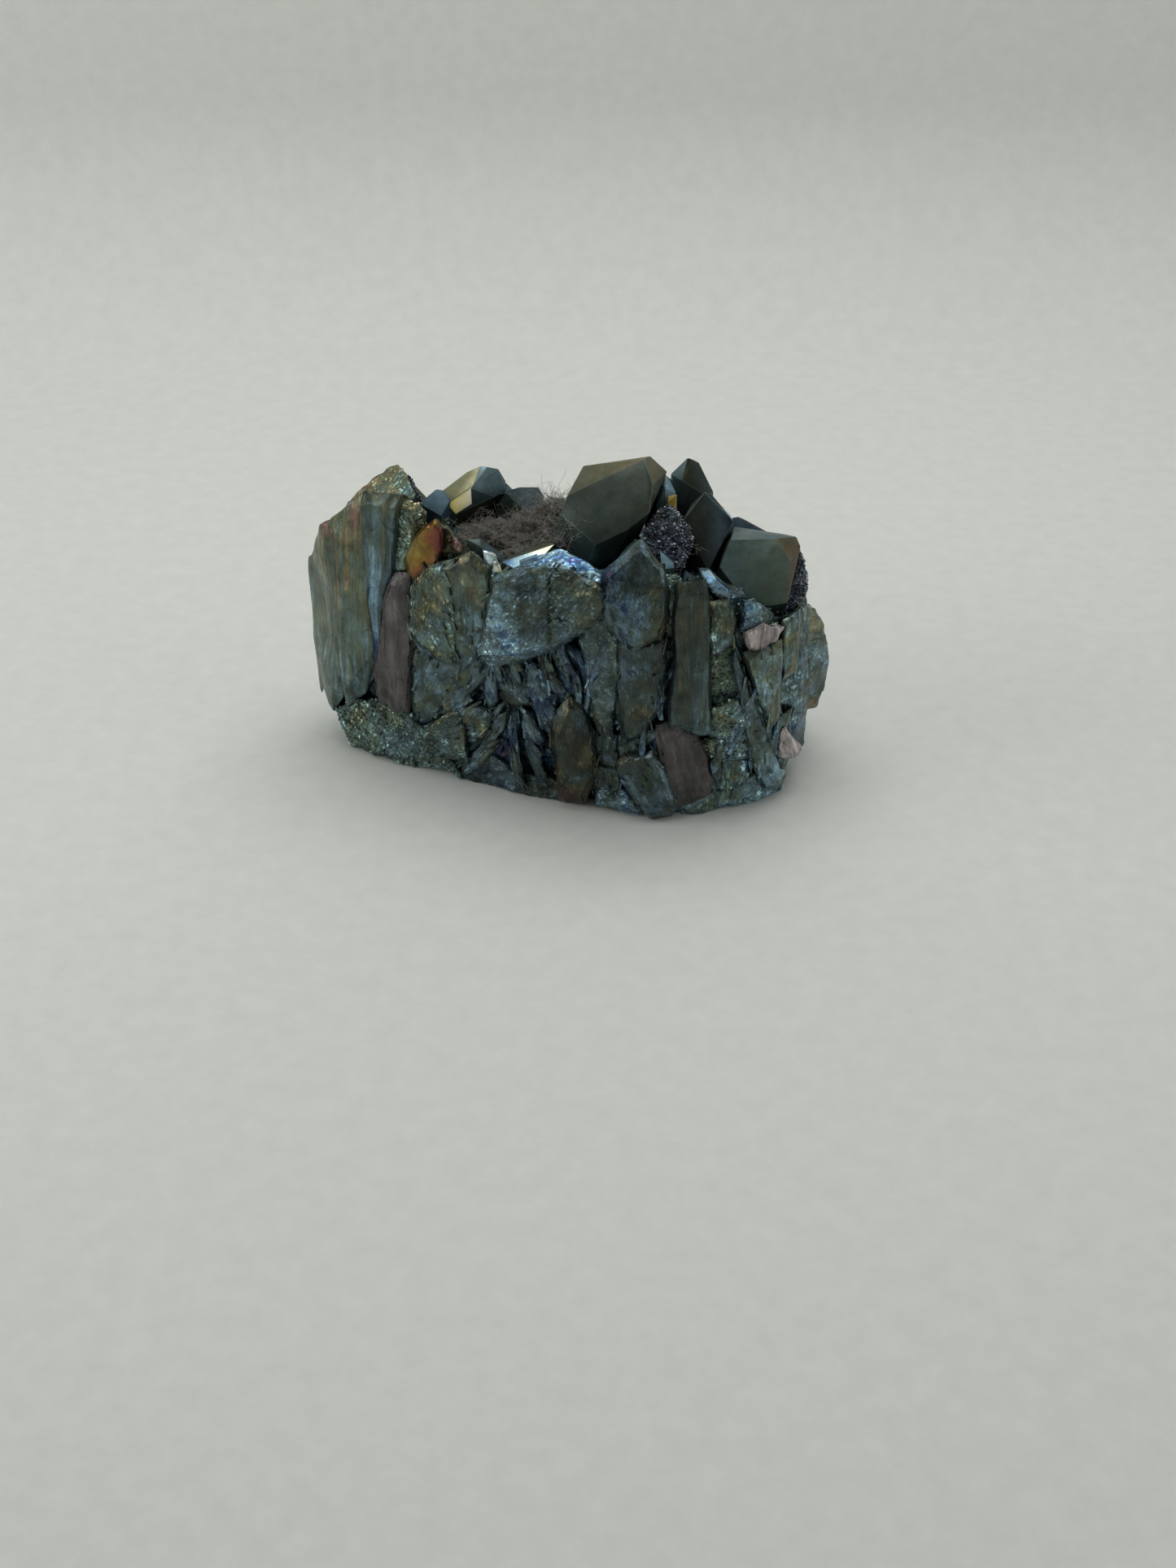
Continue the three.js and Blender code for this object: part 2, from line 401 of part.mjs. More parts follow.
// A chunk of the wall: its rim, a smaller waist further out, and a back inside the body.
function shard({ outline, proud, belly }) {
  const middleX = outline.reduce((sum, [x]) => sum + x, 0) / outline.length;
  const middleZ = outline.reduce((sum, [, z]) => sum + z, 0) / outline.length;
  const scaled = (x, z, scale) => [middleX + (x - middleX) * scale, middleZ + (z - middleZ) * scale];
  const corners = [];
  for (const [x, z, back = 0] of outline) {
    const rim = scaled(x, z, SHARD_SPREAD);
    const waist = scaled(x, z, SHARD_WAIST);
    corners.push(onWall(...rim, back - proud));
    corners.push(onWall(...waist, back * SHARD_WAIST - proud - belly + jitter(SHARD_ROUGHNESS)));
    corners.push(onWall(...rim, back + Math.min(SHARD_BACK, thickness(rim[0]) * SHARD_BACK_SHARE)));
  }
  return hull(corners);
}

// A point given by its crown, with a straight shaft down into the body.
function crystalPoint({ crown, lean, root }) {
  const shaft = vector(lean).normalize().multiplyScalar(-root);
  const rim = crown.map(vector);
  return hull([...rim, ...rim.map((corner) => corner.clone().add(shaft))]);
}

// A regular quartz point: a six-sided shaft closed by six pyramid faces, three of
// them larger than the others.
function quartz({ foot, tip, breadth, turn }) {
  const axis = vector(tip).sub(vector(foot));
  const length = axis.length();
  const apothem = breadth / 2;
  const crownHeight = apothem * PYRAMID_SLOPE;
  const corners = [];
  const shoulder = length - crownHeight;
  const corner = (index, height, scale) => {
    const angle = ((index + turn) * 2 * Math.PI) / FACES_AROUND;
    const reach = (apothem * scale) / Math.cos(Math.PI / FACES_AROUND);
    return new THREE.Vector3(reach * Math.cos(angle), reach * Math.sin(angle), height);
  };
  for (let i = 0; i < FACES_AROUND; i += 1) {
    const drop = i % 2 === 0 ? 0 : crownHeight * SMALL_FACE_DROP;
    corners.push(corner(i, 0, FOOT_TAPER));
    corners.push(corner(i, shoulder - drop, 1));
  }
  for (const [x, y, height] of TIP_RIDGE) {
    corners.push(new THREE.Vector3(apothem * x, apothem * y, length * height));
  }
  const upright = turnTo(axis.normalize());
  return hull(corners.map((point) => point.applyQuaternion(upright).add(vector(foot))));
}

// Young points strewn in rows over the top.
function youngPoints() {
  const points = [];
  for (const [y, fromX, toX] of YOUNG_ROWS) {
    for (let x = fromX; x <= toX; x += YOUNG_PITCH) {
      const top = bodyTopAt(x);
      const at = [x + jitter(YOUNG_STRAY), y + jitter(YOUNG_STRAY)];
      const lean = [at[0] + jitter(YOUNG_LEAN), at[1] + jitter(YOUNG_LEAN)];
      points.push(quartz({
        foot: [...at, top - YOUNG_FOOT],
        tip: [...lean, top + between(YOUNG_RISE)],
        breadth: between(YOUNG_BREADTH),
        turn: random(),
      }));
    }
  }
  return points;
}

// Height of the body's rounded top at x.
function bodyTopAt(x) {
  const tops = BODY_BLOCKS.filter(([fromX, toX]) => x >= fromX && x <= toX).map(([, , top]) => top);
  return Math.max(...tops) - TOP_ROUNDING;
}

// One block of the body, between two planes across its length.
function bodyBlock([fromX, toX, top]) {
  const front = WALL_PLAN.map(([x, y]) => [x, y + SKIN]);
  const back = BACK_PLAN.map(([x, y]) => [x, y - SKIN]);
  const ring = [...front, ...back].filter(([x]) => x >= fromX && x <= toX);
  for (const edge of [fromX, toX]) {
    ring.push([edge, wallAt(edge) + SKIN]);
    ring.push([edge, backAt(edge) - SKIN]);
  }
  const corners = [];
  for (const [x, y] of ring) {
    corners.push(new THREE.Vector3(x * ROOT_LENGTH_SHARE, y * ROOT_DEPTH_SHARE, 0));
    corners.push(new THREE.Vector3(x, y, top * BELT_SHARE));
    corners.push(new THREE.Vector3(x * ROOT_DEPTH_SHARE, y * ROOT_LENGTH_SHARE, top - TOP_ROUNDING));
  }
  return hull(corners);
}

// Broken columns side by side along the far side's plan.
function backColumns(tier) {
  const path = new THREE.CatmullRomCurve3(BACK_PLAN.map(([x, y]) => new THREE.Vector3(x, y, 0)));
  const count = Math.round(path.getLength() / tier.pitch);
  const columns = [];
  for (let i = 1; i < count; i += 1) {
    const at = path.getPointAt(i / count);
    const along = path.getTangentAt(i / count);
    const out = new THREE.Vector3(along.y, -along.x, 0);
    columns.push(column(at.addScaledVector(out, tier.proud + jitter(SHARD_ROUGHNESS)), along, out, tier));
  }
  return columns;
}

// How high a column may reach at x.
function shoulderAt(x) {
  const [[x0, z0], [x1, z1]] = SHOULDER_LINE;
  return THREE.MathUtils.mapLinear(x, x0, x1, z0, z1);
}

// A ragged column at a place on the far side, along and out of it.
function column(at, along, out, tier) {
  const half = between(tier.breadth) / 2;
  const top = Math.min(between(tier.top), shoulderAt(at.x));
  const foot = between(tier.foot);
  const waist = THREE.MathUtils.lerp(foot, top, between(COLUMN_WAIST));
  const slant = jitter(COLUMN_SLANT);
  const place = (side, proud, height, shift) => at.clone()
    .addScaledVector(along, side * half + shift)
    .addScaledVector(out, proud)
    .setZ(height);
  const corners = [];
  for (const [side, proud] of COLUMN_SECTION) {
    corners.push(place(side * COLUMN_FOOT, proud - COLUMN_TUCK, foot + jitter(COLUMN_RAGGED), -slant));
    corners.push(place(side, proud + jitter(SHARD_ROUGHNESS), waist + jitter(COLUMN_RAGGED), 0));
    corners.push(place(side * COLUMN_TOP, proud - COLUMN_SET_BACK, top + jitter(COLUMN_RAGGED), slant));
    corners.push(place(side, -SHARD_BACK, foot + COLUMN_RAGGED, -slant));
    corners.push(place(side * COLUMN_ROOT, -SHARD_BACK, top + COLUMN_RAGGED, slant));
  }
  return hull(corners);
}

// A small six-sided tip that stands on the point at, along the direction aim.
function grain(at, aim) {
  const breadth = between(GRAIN_BREADTH);
  const radius = breadth / 2;
  const height = radius * PYRAMID_SLOPE;
  const turn = random();
  const corners = [new THREE.Vector3(0, 0, height), new THREE.Vector3(0, 0, -GRAIN_SINK)];
  for (let i = 0; i < FACES_AROUND; i += 1) {
    const angle = ((i + turn) * 2 * Math.PI) / FACES_AROUND;
    corners.push(new THREE.Vector3(radius * Math.cos(angle), radius * Math.sin(angle), 0));
  }
  return hull(corners.map((corner) => corner.applyQuaternion(turnTo(aim)).add(at)));
}

// A lump with grains strewn over the faces that look the given way.
function druse({ grains, facing, lump }) {
  const surface = new ConvexGeometry(lump.map(vector)).attributes.position;
  const side = vector(facing).normalize();
  const faces = [];
  let area = 0;
  for (let i = 0; i < surface.count; i += 3) {
    const [a, b, c] = [0, 1, 2].map((k) => new THREE.Vector3().fromBufferAttribute(surface, i + k));
    const triangle = new THREE.Triangle(a, b, c);
    const normal = triangle.getNormal(new THREE.Vector3());
    if (normal.dot(side) > 0) {
      area += triangle.getArea();
      faces.push({ triangle, normal, upTo: area });
    }
  }
  const crust = [];
  for (let i = 0; i < grains; i += 1) {
    const share = random() * area;
    const { triangle, normal } = faces.find(({ upTo }) => upTo >= share);
    const along = Math.sqrt(random());
    const across = random();
    const at = triangle.a.clone().multiplyScalar(1 - along)
      .addScaledVector(triangle.b, along * (1 - across))
      .addScaledVector(triangle.c, along * across);
    const tilt = new THREE.Vector3(jitter(GRAIN_TILT), jitter(GRAIN_TILT), jitter(GRAIN_TILT));
    crust.push(grain(at, normal.clone().add(tilt).normalize()));
  }
  return [hull(lump.map(vector)), ...crust];
}

function crystalCluster() {
  const pieces = [
    ...BODY_BLOCKS.map(bodyBlock),
    ...SHARDS.map(shard),
    ...POINTS.map(crystalPoint),
    ...BACK_POINTS.map(quartz),
    ...youngPoints(),
    ...COLUMN_TIERS.flatMap(backColumns),
    ...DRUSE_LUMPS.flatMap(druse),
  ];
  const grown = pieces.reduce((whole, piece) => whole.add(piece));
  const ground = hull(groundCorners());
  return solidThroughout(grown.subtract(ground).asOriginal().simplify(SMALLEST_FEATURE));
}

// The largest shell, without the pockets that neighbours close off between them.
function solidThroughout(rock) {
  const shells = rock.decompose();
  return shells.reduce((largest, shell) => (shell.volume() > largest.volume() ? shell : largest));
}

// Everything below the root, so that it is flat.
function groundCorners() {
  const corners = [];
  for (const x of [-GROUND_REACH, GROUND_REACH]) {
    for (const y of [-GROUND_REACH, GROUND_REACH]) {
      corners.push(new THREE.Vector3(x, y, 0));
      corners.push(new THREE.Vector3(x, y, -GROUND_DEPTH));
    }
  }
  return corners;
}

function meshOf(name, solid) {
  const { vertProperties, triVerts, numProp } = solid.getMesh();
  const geometry = new THREE.BufferGeometry();
  geometry.setAttribute('position', new THREE.BufferAttribute(Float32Array.from(vertProperties), numProp));
  geometry.setIndex(Array.from(triVerts));
  geometry.computeVertexNormals();
  const mesh = new THREE.Mesh(geometry, COAT);
  mesh.name = name;
  return mesh;
}

const cluster = new THREE.Group();
const crystals = meshOf('crystal_cluster', crystalCluster());
crystals.position.set(...MARK);
cluster.add(crystals);

export default cluster;
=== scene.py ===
"""A broken cluster of quartz points under an iridescent metal coat.

Broken shafts make its front wall, faceted points stand on top, druse crusts fill
the pockets, and lint has caught in the hollow between the points. Lengths in the
tables are millimetres from a mark on the root; meshes are in metres.
"""
import itertools
import logging
import math
from dataclasses import dataclass, field
from enum import Enum
from typing import Any, Iterable, Iterator, Sequence

import bmesh
import bpy
import numpy as np
from mathutils import Euler, Matrix, Vector, noise


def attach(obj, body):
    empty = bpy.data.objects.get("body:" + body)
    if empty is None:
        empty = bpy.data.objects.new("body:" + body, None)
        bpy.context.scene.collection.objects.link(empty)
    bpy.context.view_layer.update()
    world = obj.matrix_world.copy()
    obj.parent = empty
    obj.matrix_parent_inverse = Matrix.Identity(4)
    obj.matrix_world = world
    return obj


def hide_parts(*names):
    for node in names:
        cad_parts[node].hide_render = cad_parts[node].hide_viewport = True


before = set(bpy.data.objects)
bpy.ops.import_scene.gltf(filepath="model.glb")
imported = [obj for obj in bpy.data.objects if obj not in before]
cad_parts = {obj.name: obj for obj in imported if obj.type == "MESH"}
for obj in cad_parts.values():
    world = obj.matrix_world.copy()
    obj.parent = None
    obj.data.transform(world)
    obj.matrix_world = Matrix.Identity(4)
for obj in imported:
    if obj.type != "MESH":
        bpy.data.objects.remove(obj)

LOG = logging.getLogger("crystal_cluster")

Array = np.ndarray
Tree = bpy.types.NodeTree
Triple = tuple[float, float, float]
# A node and the name or number of its output.
Output = tuple[bpy.types.Node, str | int]

MM = 0.001
MARK = np.array((0.83, -1.65, 0.0))
UP = Vector((0.0, 0.0, 1.0))

# Plan of the broken front wall and of the far side, as x, y.
WALL_PLAN = ((-46, 12), (-42, 6), (-20, -5), (-5, -12), (14, -18), (30, -15), (40, -9), (46, 2))
BACK_PLAN = ((43.2, 3), (41, 11), (33.5, 17.5), (20, 21.5), (2, 23.5), (-16, 23), (-31, 21),
             (-40, 18), (-43.8, 13))
# Body behind the wall as left end, right end and top.
BODY_BLOCKS = ((-43.5, -22, 43), (-28, 10, 38), (4, 30, 42.5), (22, 41.5, 37))


class Relief(Enum):
    """How the surface of a chunk grew or broke."""

    MIRROR = "flat crystal face"
    SMOOTH = "wavy break"
    SATIN = "glassy break"
    STRIATED = "striated shaft"
    CRINKLED = "crinkled break"
    GRANULAR = "granular break"
    BARE = "bare quartz"


MIRROR, SMOOTH, SATIN, STRIATED, CRINKLED, GRANULAR, BARE = Relief


@dataclass(frozen=True)
class Coat:
    """Metal coat of one chunk.

    Its film order runs from low at the foot to high at the top, or from left to
    right where across is set: 0 is thin straw gold, then magenta, blue, silver,
    teal, and 1 is plum. On bare quartz 0 is violet and 1 pinkish white.
    """

    relief: Relief
    low: float
    high: float
    shade: float = 1.0
    streak: float = 0.0
    across: bool = False


@dataclass(frozen=True)
class FaceCoat:
    """Coat of the crystal face that looks in a direction, from its left to its right. Its shade holds
    painted light: faces that catch the light are brighter, glinting faces carry a painted highlight, and
    faces that look down a painted shade.
    """

    facing: Triple
    left: float
    right: float
    shade: float = 1.0


@dataclass(frozen=True)
class Shard:
    """A chunk of the wall, by its outline x, z and how far a corner is set back.

    grain is the direction of its lines, where they do not follow its length.
    """

    proud: float
    belly: float
    coat: Coat
    outline: tuple[tuple[float, ...], ...]
    grain: Triple | None = None


@dataclass(frozen=True)
class CrystalPoint:
    """A point given by the corners of its crown, and its shaft's direction and length."""

    lean: Triple
    root: float
    coat: Coat
    faces: tuple[FaceCoat, ...]
    crown: tuple[Triple, ...]


@dataclass(frozen=True)
class QuartzPoint:
    """A regular six-sided point."""

    foot: Triple
    tip: Triple
    breadth: float
    turn: float


@dataclass(frozen=True)
class DruseLump:
    """A lump of rock, and the side of it that grains cover."""

    facing: Triple
    lump: tuple[Triple, ...]


# Coat of the points' faces that have none of their own.
DARK_MIRROR = Coat(MIRROR, 0.72, 0.72, 0.4)
# Shards of the wall, roughly from left to right. Their shades hold painted light and shade besides the
# coat's own brightness: the striated shafts at the left end are painted lighter, as lit from the left, and
# the shards low in the middle and along the bottom darker, as painted shade.
SHARDS: tuple[Shard, ...] = (
    # Striated shafts at the left end
    Shard(0.3, 0.5, Coat(STRIATED, 0.7, 0.76, 1.2), ((-46.3, 20), (-46.1, 32.7), (-44.8, 34.5), (-43, 30),
        (-43.5, 16), (-45.6, 9.5))),
    Shard(1, 1.1, Coat(STRIATED, 0.7, 0.83, 0.9, streak=0.03), ((-45.2, 34), (-44.3, 37), (-42, 41.5),
        (-40, 42.8), (-38.4, 44), (-38.5, 30), (-40.2, 14), (-42.5, 9), (-45, 12))),
    Shard(1.7, 0.8, Coat(STRIATED, 0.66, 0.88, 0.92, streak=0.05), ((-40.3, 24), (-40, 42.8), (-36.5, 46.5),
        (-34.5, 49), (-33.8, 40), (-34.2, 20), (-36.2, 14.5), (-39.8, 11))),
    Shard(1.3, 1, Coat(STRIATED, 0.46, 0.76, 0.66, streak=0.05), ((-35.4, 48.5), (-34, 49.7), (-28.3, 50.5),
        (-30, 47), (-31, 42), (-31.8, 38), (-32.2, 26), (-33.5, 19), (-35, 17), (-35.2, 30))),
    Shard(0.9, 0.4, Coat(GRANULAR, 0.8, 0.86, 3), ((-42.7, 14), (-41, 14.5), (-40.3, 12), (-40.8, 10),
        (-42.3, 10.5))),
    # Granular shoulder and bare violet column beside them
    Shard(0, 0.8, Coat(GRANULAR, 0.7, 0.8, 1.9), ((-30.4, 50), (-25.6, 50.6), (-24.8, 49.8), (-25.8, 47),
        (-27.3, 42), (-27.5, 37.8), (-30.5, 35.5), (-31.2, 40.6))),
    Shard(1.6, 1.1, Coat(BARE, 0.1, 0.35, 0.85), ((-30.8, 35.5), (-27.5, 36.2), (-26.6, 27), (-28, 21),
        (-28.2, 11.5), (-31, 9.5), (-33.6, 13), (-33.8, 18), (-32, 23))),
    # Gold fragment with its side, and the chunks under it
    Shard(1.4, 0.9, Coat(SATIN, 0.14, 0.31, 0.55, across=True), ((-22.7, 49.3), (-24.3, 47.5),
        (-25.6, 44.5), (-27.7, 41), (-27.3, 39), (-26, 36.8), (-24.6, 39), (-22.3, 40.7), (-21.7, 44),
        (-21.8, 48))),
    Shard(-1, 0.8, Coat(CRINKLED, 0.68, 0.78, 1.1), ((-22, 49), (-20.5, 49), (-18.3, 46.3), (-17.2, 43),
        (-19, 40.5), (-22.5, 40.5)), (0.5, 0, 0.87)),
    Shard(2.2, 1.6, Coat(CRINKLED, 0.7, 0.79, 1.0), ((-26, 37), (-23, 40), (-19.6, 41.6), (-19, 34),
        (-19.5, 24.5), (-22, 24), (-25, 25), (-27, 28)), (-0.2, 0, 0.98)),
    Shard(2.2, 1.2, Coat(SMOOTH, 0.68, 0.79, 0.75), ((-20.6, 41.2), (-16, 44), (-13.7, 42), (-13.6, 38),
        (-15, 32), (-16, 26), (-18, 23.5), (-20, 26))),
    Shard(1.4, 0.6, Coat(SATIN, 1.09, 1.19, 2, across=True), ((-14, 46), (-12.5, 45.8), (-11.4, 42.3),
        (-12.6, 39), (-13.8, 42.5))),
    # Big crinkled wedge, split by a crack, with the ledge that runs back from it
    Shard(3, 1.6, Coat(CRINKLED, 0.64, 0.7, 0.85), ((-12.5, 40.5), (-9, 42.5), (-3.8, 43.8), (-3.3, 36),
        (-3.2, 30.5), (-8, 27.7), (-13, 25.5), (-15.5, 25), (-15, 30), (-13.3, 36)), (0.77, 0, 0.64)),
    Shard(2.8, 1.2, Coat(CRINKLED, 0.6, 0.72, 0.5), ((-3.7, 43.8), (0, 44.5), (4, 43), (6, 41), (5.5, 38),
        (2, 35), (-2, 31), (-3.5, 30.5)), (0.77, 0, 0.64)),
    Shard(1.6, 0.4, Coat(CRINKLED, 0.54, 0.62, 2.2, across=True), ((-2.2, 48.3, 6), (0, 46.8, 3),
        (3.5, 46, 2), (5.8, 44.6, 1), (6.2, 41.5), (0, 43.6), (-5, 43.6), (-11, 41.4), (-9.2, 43.4, 2),
        (-6, 46, 5)), (0.96, 0, 0.28)),
    # Teal blocks and dark hollow under the wedge
    Shard(1, 0.9, Coat(SMOOTH, 0.64, 0.74, 0.55), ((-26.5, 24.5), (-22, 24.6), (-18, 24), (-15.8, 25),
        (-15, 21), (-18.5, 17), (-22, 12), (-26, 9), (-27, 13)), (0.45, 0, 0.89)),
    Shard(1.6, 0.4, Coat(SMOOTH, 0.64, 0.68, 1.5), ((-21.7, 17.5), (-18, 18.5), (-17, 16), (-20, 13),
        (-22, 12.5)), (0.77, 0, 0.64)),
    Shard(0.3, 0.6, Coat(CRINKLED, 0.68, 0.74, 0.6), ((-15.5, 25), (-9, 26.8), (-6.5, 24), (-7, 18),
        (-10, 17), (-15, 19)), (-0.3, 0, 0.95)),
    Shard(1.8, 1, Coat(CRINKLED, 0.68, 0.75, 0.9), ((-25, 8), (-21, 12), (-19.2, 13.2), (-18.4, 8),
        (-18.5, 3.5), (-22, 3), (-24.5, 5)), (0.77, 0, 0.64)),
    Shard(1.3, 0.8, Coat(CRINKLED, 0.68, 0.75, 0.8), ((-19.6, 13), (-17, 15), (-14, 14.5), (-14.5, 9.5),
        (-17, 7), (-18.6, 7.5)), (0.77, 0, 0.64)),
    Shard(-0.8, 0.6, Coat(SMOOTH, 0.44, 0.5, 0.75), ((-16.5, 17), (-12, 18), (-9.5, 15), (-9.5, 6),
        (-13, 4), (-16, 6))),
    Shard(1.2, 0.7, Coat(CRINKLED, 0.46, 0.6, 0.55), ((-7, 26.5), (-4.5, 26.5), (-2.2, 22.5), (-2.5, 16),
        (-3.5, 13.5), (-5.5, 17), (-6.8, 21.5))),
    Shard(1.6, 0.5, Coat(SMOOTH, 0.56, 0.63, 0.6), ((-8, 16.7), (-6.3, 16), (-4.4, 12.7), (-4.3, 11.3),
        (-6.4, 10.5), (-8, 13))),
    Shard(0.5, 0.5, Coat(SMOOTH, 0.54, 0.58, 0.35), ((-7.5, 10.5), (-5.5, 11), (-3.8, 3), (-5.5, 2.5))),
    Shard(0.7, 0.3, Coat(SMOOTH, 0.6, 0.66, 0.6), ((-10, 7.5), (-8.8, 5), (-9, 3), (-10.3, 2.6),
        (-10.4, 5.3))),
    # Grainy rim along the bottom left
    Shard(0.8, 0.8, Coat(GRANULAR, 0.7, 0.73, 1.5), ((-41.7, 6.5), (-38, 9.2), (-34, 9.8), (-33, 4),
        (-34, 0), (-39.5, 0), (-41, 3))),
    Shard(1.2, 0.9, Coat(GRANULAR, 0.7, 0.76, 1), ((-35, 9.5), (-30, 10.5), (-27, 9), (-27, 3), (-28, 0),
        (-35, 0))),
    Shard(1.2, 0.7, Coat(GRANULAR, 0.7, 0.75, 1.1), ((-28, 9), (-25, 7.4), (-22, 3), (-20, 0.3),
        (-28.5, 0))),
    # Brown column, blue fan and granular column in the middle
    Shard(1.8, 1.3, Coat(SMOOTH, 0.85, 0.78, 0.42), ((-2.5, 16), (-0.5, 20), (2.5, 19), (4.2, 15), (4, 8),
        (2.5, 1), (-1, 1.5), (-0.5, 4), (-2, 9), (-2.7, 12))),
    Shard(0.3, 0.8, Coat(STRIATED, 0.46, 0.5, 1.0, streak=0.03), ((-2, 29), (0, 31), (2.5, 30), (3.5, 26),
        (4.2, 19), (0, 17), (-2.2, 21))),
    Shard(1.5, 0.9, Coat(GRANULAR, 0.66, 0.72, 0.75), ((2, 35), (6, 38), (8, 33), (8, 24), (7.3, 15.5),
        (5.5, 17), (4, 21), (3.5, 28))),
    Shard(0.6, 0.7, Coat(SMOOTH, 0.66, 0.7, 0.55), ((3.8, 16), (8, 15), (8.3, 9), (6, 8), (4, 9))),
    # Pointed column and the tall shafts right of it
    Shard(2.4, 1.7, Coat(SMOOTH, 0.5, 0.78, 0.5, across=True), ((11.7, 51.8, 4), (8, 47.8, 2.5),
        (5.8, 45, 1), (5.7, 40.5), (7, 36.5), (9.5, 34), (12, 33.5), (15, 35.5), (16, 39), (15.5, 44, 1),
        (14.5, 48, 2.5)), (0.1, 0, 1)),
    Shard(1.9, 1.3, Coat(SMOOTH, 0.7, 0.68, 0.38), ((8.3, 33), (8.3, 27), (8.8, 21), (9.3, 15), (12, 17.3),
        (15, 22), (15.2, 27), (16, 34), (12, 33.9))),
    Shard(-0.8, 0.4, Coat(SMOOTH, 0.66, 0.7, 1), ((15, 40), (18.2, 40), (18, 30), (17.6, 17), (15, 17),
        (15.3, 27))),
    Shard(0.3, 0.7, Coat(GRANULAR, 0.7, 0.76, 2.2), ((13, 46, 1), (17.7, 46, 1), (18.3, 41), (17.8, 36),
        (16, 36), (15, 40))),
    Shard(1.8, 1.2, Coat(STRIATED, 0.73, 0.71, 0.47, streak=0.02), ((17.8, 43), (22.2, 43.5), (22.5, 36),
        (23.5, 24), (23.8, 17.5), (20, 17.5), (17, 18), (17.5, 26), (18, 36))),
    Shard(-1, 0.5, Coat(SATIN, 0.54, 0.64, 1.0), ((19.3, 47, 1), (20.8, 45.5), (20.9, 43.5), (19.7, 42),
        (18.6, 43))),
    Shard(0.6, 0.4, Coat(SATIN, 0.66, 0.56, 0.8, across=True), ((21.7, 47.2, 2), (23.2, 47, 2),
        (24, 45.4, 1), (26.4, 42), (25.7, 40), (24.5, 41), (22.5, 44.5))),
    # Stub, druse and slanting blade right of the shafts
    Shard(1.6, 1, Coat(CRINKLED, 0.73, 0.8, 1.2), ((22.6, 41), (25.7, 40), (27.2, 36.5), (27, 32.5),
        (25.5, 31.5), (23.2, 31), (22.8, 36))),
    Shard(0.1, 0.7, Coat(GRANULAR, 0.7, 0.78, 1.4), ((23.3, 31.2), (27.5, 31.5), (28.5, 28), (28, 22),
        (24, 21.5), (23.4, 26))),
    Shard(1.3, 1.1, Coat(GRANULAR, 0.71, 0.77, 2.1), ((24, 21), (28, 22), (29.6, 18), (29.7, 16.4),
        (26, 15), (23.5, 16.5))),
    Shard(1, 0.9, Coat(GRANULAR, 0.66, 0.72, 1.35), ((23.5, 15), (30, 16), (32, 12), (31, 10), (26, 9.8),
        (23.5, 11.5)), (0.3, 0, 0.95)),
    Shard(1.7, 0.8, Coat(SMOOTH, 0.62, 0.68, 0.45), ((28, 30), (29.7, 23), (32, 17.5), (33.3, 12.5),
        (31, 11), (30.1, 14.3), (29.4, 19), (27.3, 27))),
    Shard(1.7, 0.7, Coat(SMOOTH, 0.56, 0.64, 1.1), ((30.6, 13), (33.3, 12.5), (34.8, 8.5), (36.8, 3.8),
        (36.2, 2.2), (34, 2.3), (30.9, 9.3))),
    Shard(0.8, 0.8, Coat(CRINKLED, 0.56, 0.68, 0.85), ((28.7, 39.8), (31.9, 38.5), (33.7, 36.5), (33, 34.5),
        (30, 34), (28.5, 35)), (0.9, 0, 0.3)),
    Shard(1.7, 0.7, Coat(BARE, 0.7, 0.9, 1.1), ((29.3, 34), (32, 35.5), (35.5, 33.5), (34.5, 31.8),
        (31.8, 31), (30.3, 31.5))),
    Shard(1.5, 1, Coat(SMOOTH, 0.68, 0.76, 1.15), ((29.8, 29.5), (31.8, 31), (35.6, 30.5), (35.9, 27.3),
        (35.4, 24.5), (35.2, 20), (35.3, 17), (33.5, 15), (32.5, 19), (31, 24))),
    Shard(0.6, 0.7, Coat(SMOOTH, 0.68, 0.77, 1.3), ((36, 34), (38.8, 35), (38.8, 31), (38.3, 24.5),
        (36.3, 24), (35.8, 28))),
    # Slips under the rounded chunk at the right end
    Shard(0.3, 0.6, Coat(SMOOTH, 0.64, 0.72, 0.8), ((33.5, 15), (38, 16.5), (37.5, 10), (36, 8),
        (34.8, 9))),
    Shard(1.2, 0.4, Coat(BARE, 0.7, 0.9, 1.2), ((36.2, 12.5), (37.2, 13.3), (38.6, 10.4), (40, 8.2),
        (39.4, 7.4), (37.4, 8.8), (36.1, 8.6))),
    # Violet column, teal wedge and lumps along the bottom
    Shard(1.6, 0.9, Coat(BARE, 0.1, 0.4, 0.7), ((15, 17.5), (18, 17.5), (21.2, 15), (22.6, 13.3),
        (23.6, 10.8), (24.1, 6), (23.7, 4.2), (20.6, 3), (17.7, 2.2), (17, 5.5), (15.2, 13.8))),
    Shard(1.6, 1.1, Coat(SMOOTH, 0.62, 0.7, 0.55), ((8.7, 9.3), (10.1, 10.7), (13.9, 12.8), (16.9, 7.8),
        (17.8, 2.3), (16.9, 0), (13.9, 0), (12, 2), (8.7, 7.7)), (-0.45, 0, 0.89)),
    Shard(0.2, 0.6, Coat(SMOOTH, 0.72, 0.66, 0.7), ((8.5, 15.5), (12, 17.5), (15.3, 17), (15, 12),
        (10, 10.5), (8.5, 10)), (0.2, 0, 0.98)),
    Shard(0.8, 0.7, Coat(CRINKLED, 0.6, 0.66, 0.5), ((4, 8.5), (8.5, 8), (9, 4.5), (6.5, 2.5), (4, 4))),
    Shard(0.9, 0.6, Coat(CRINKLED, 0.58, 0.64, 1.1), ((5, 4), (8.5, 5), (12, 1.5), (11, 0), (5, 0))),
    Shard(0.8, 0.8, Coat(CRINKLED, 0.62, 0.68, 1.1), ((24.3, 10), (28, 10.5), (30, 9), (30.3, 5), (28, 3.5),
        (24.5, 4))),
    Shard(0.9, 0.4, Coat(SMOOTH, 0.6, 0.62, 1.5), ((26.5, 4.8), (30, 4.5), (30, 0.2), (26.5, 0.2))),
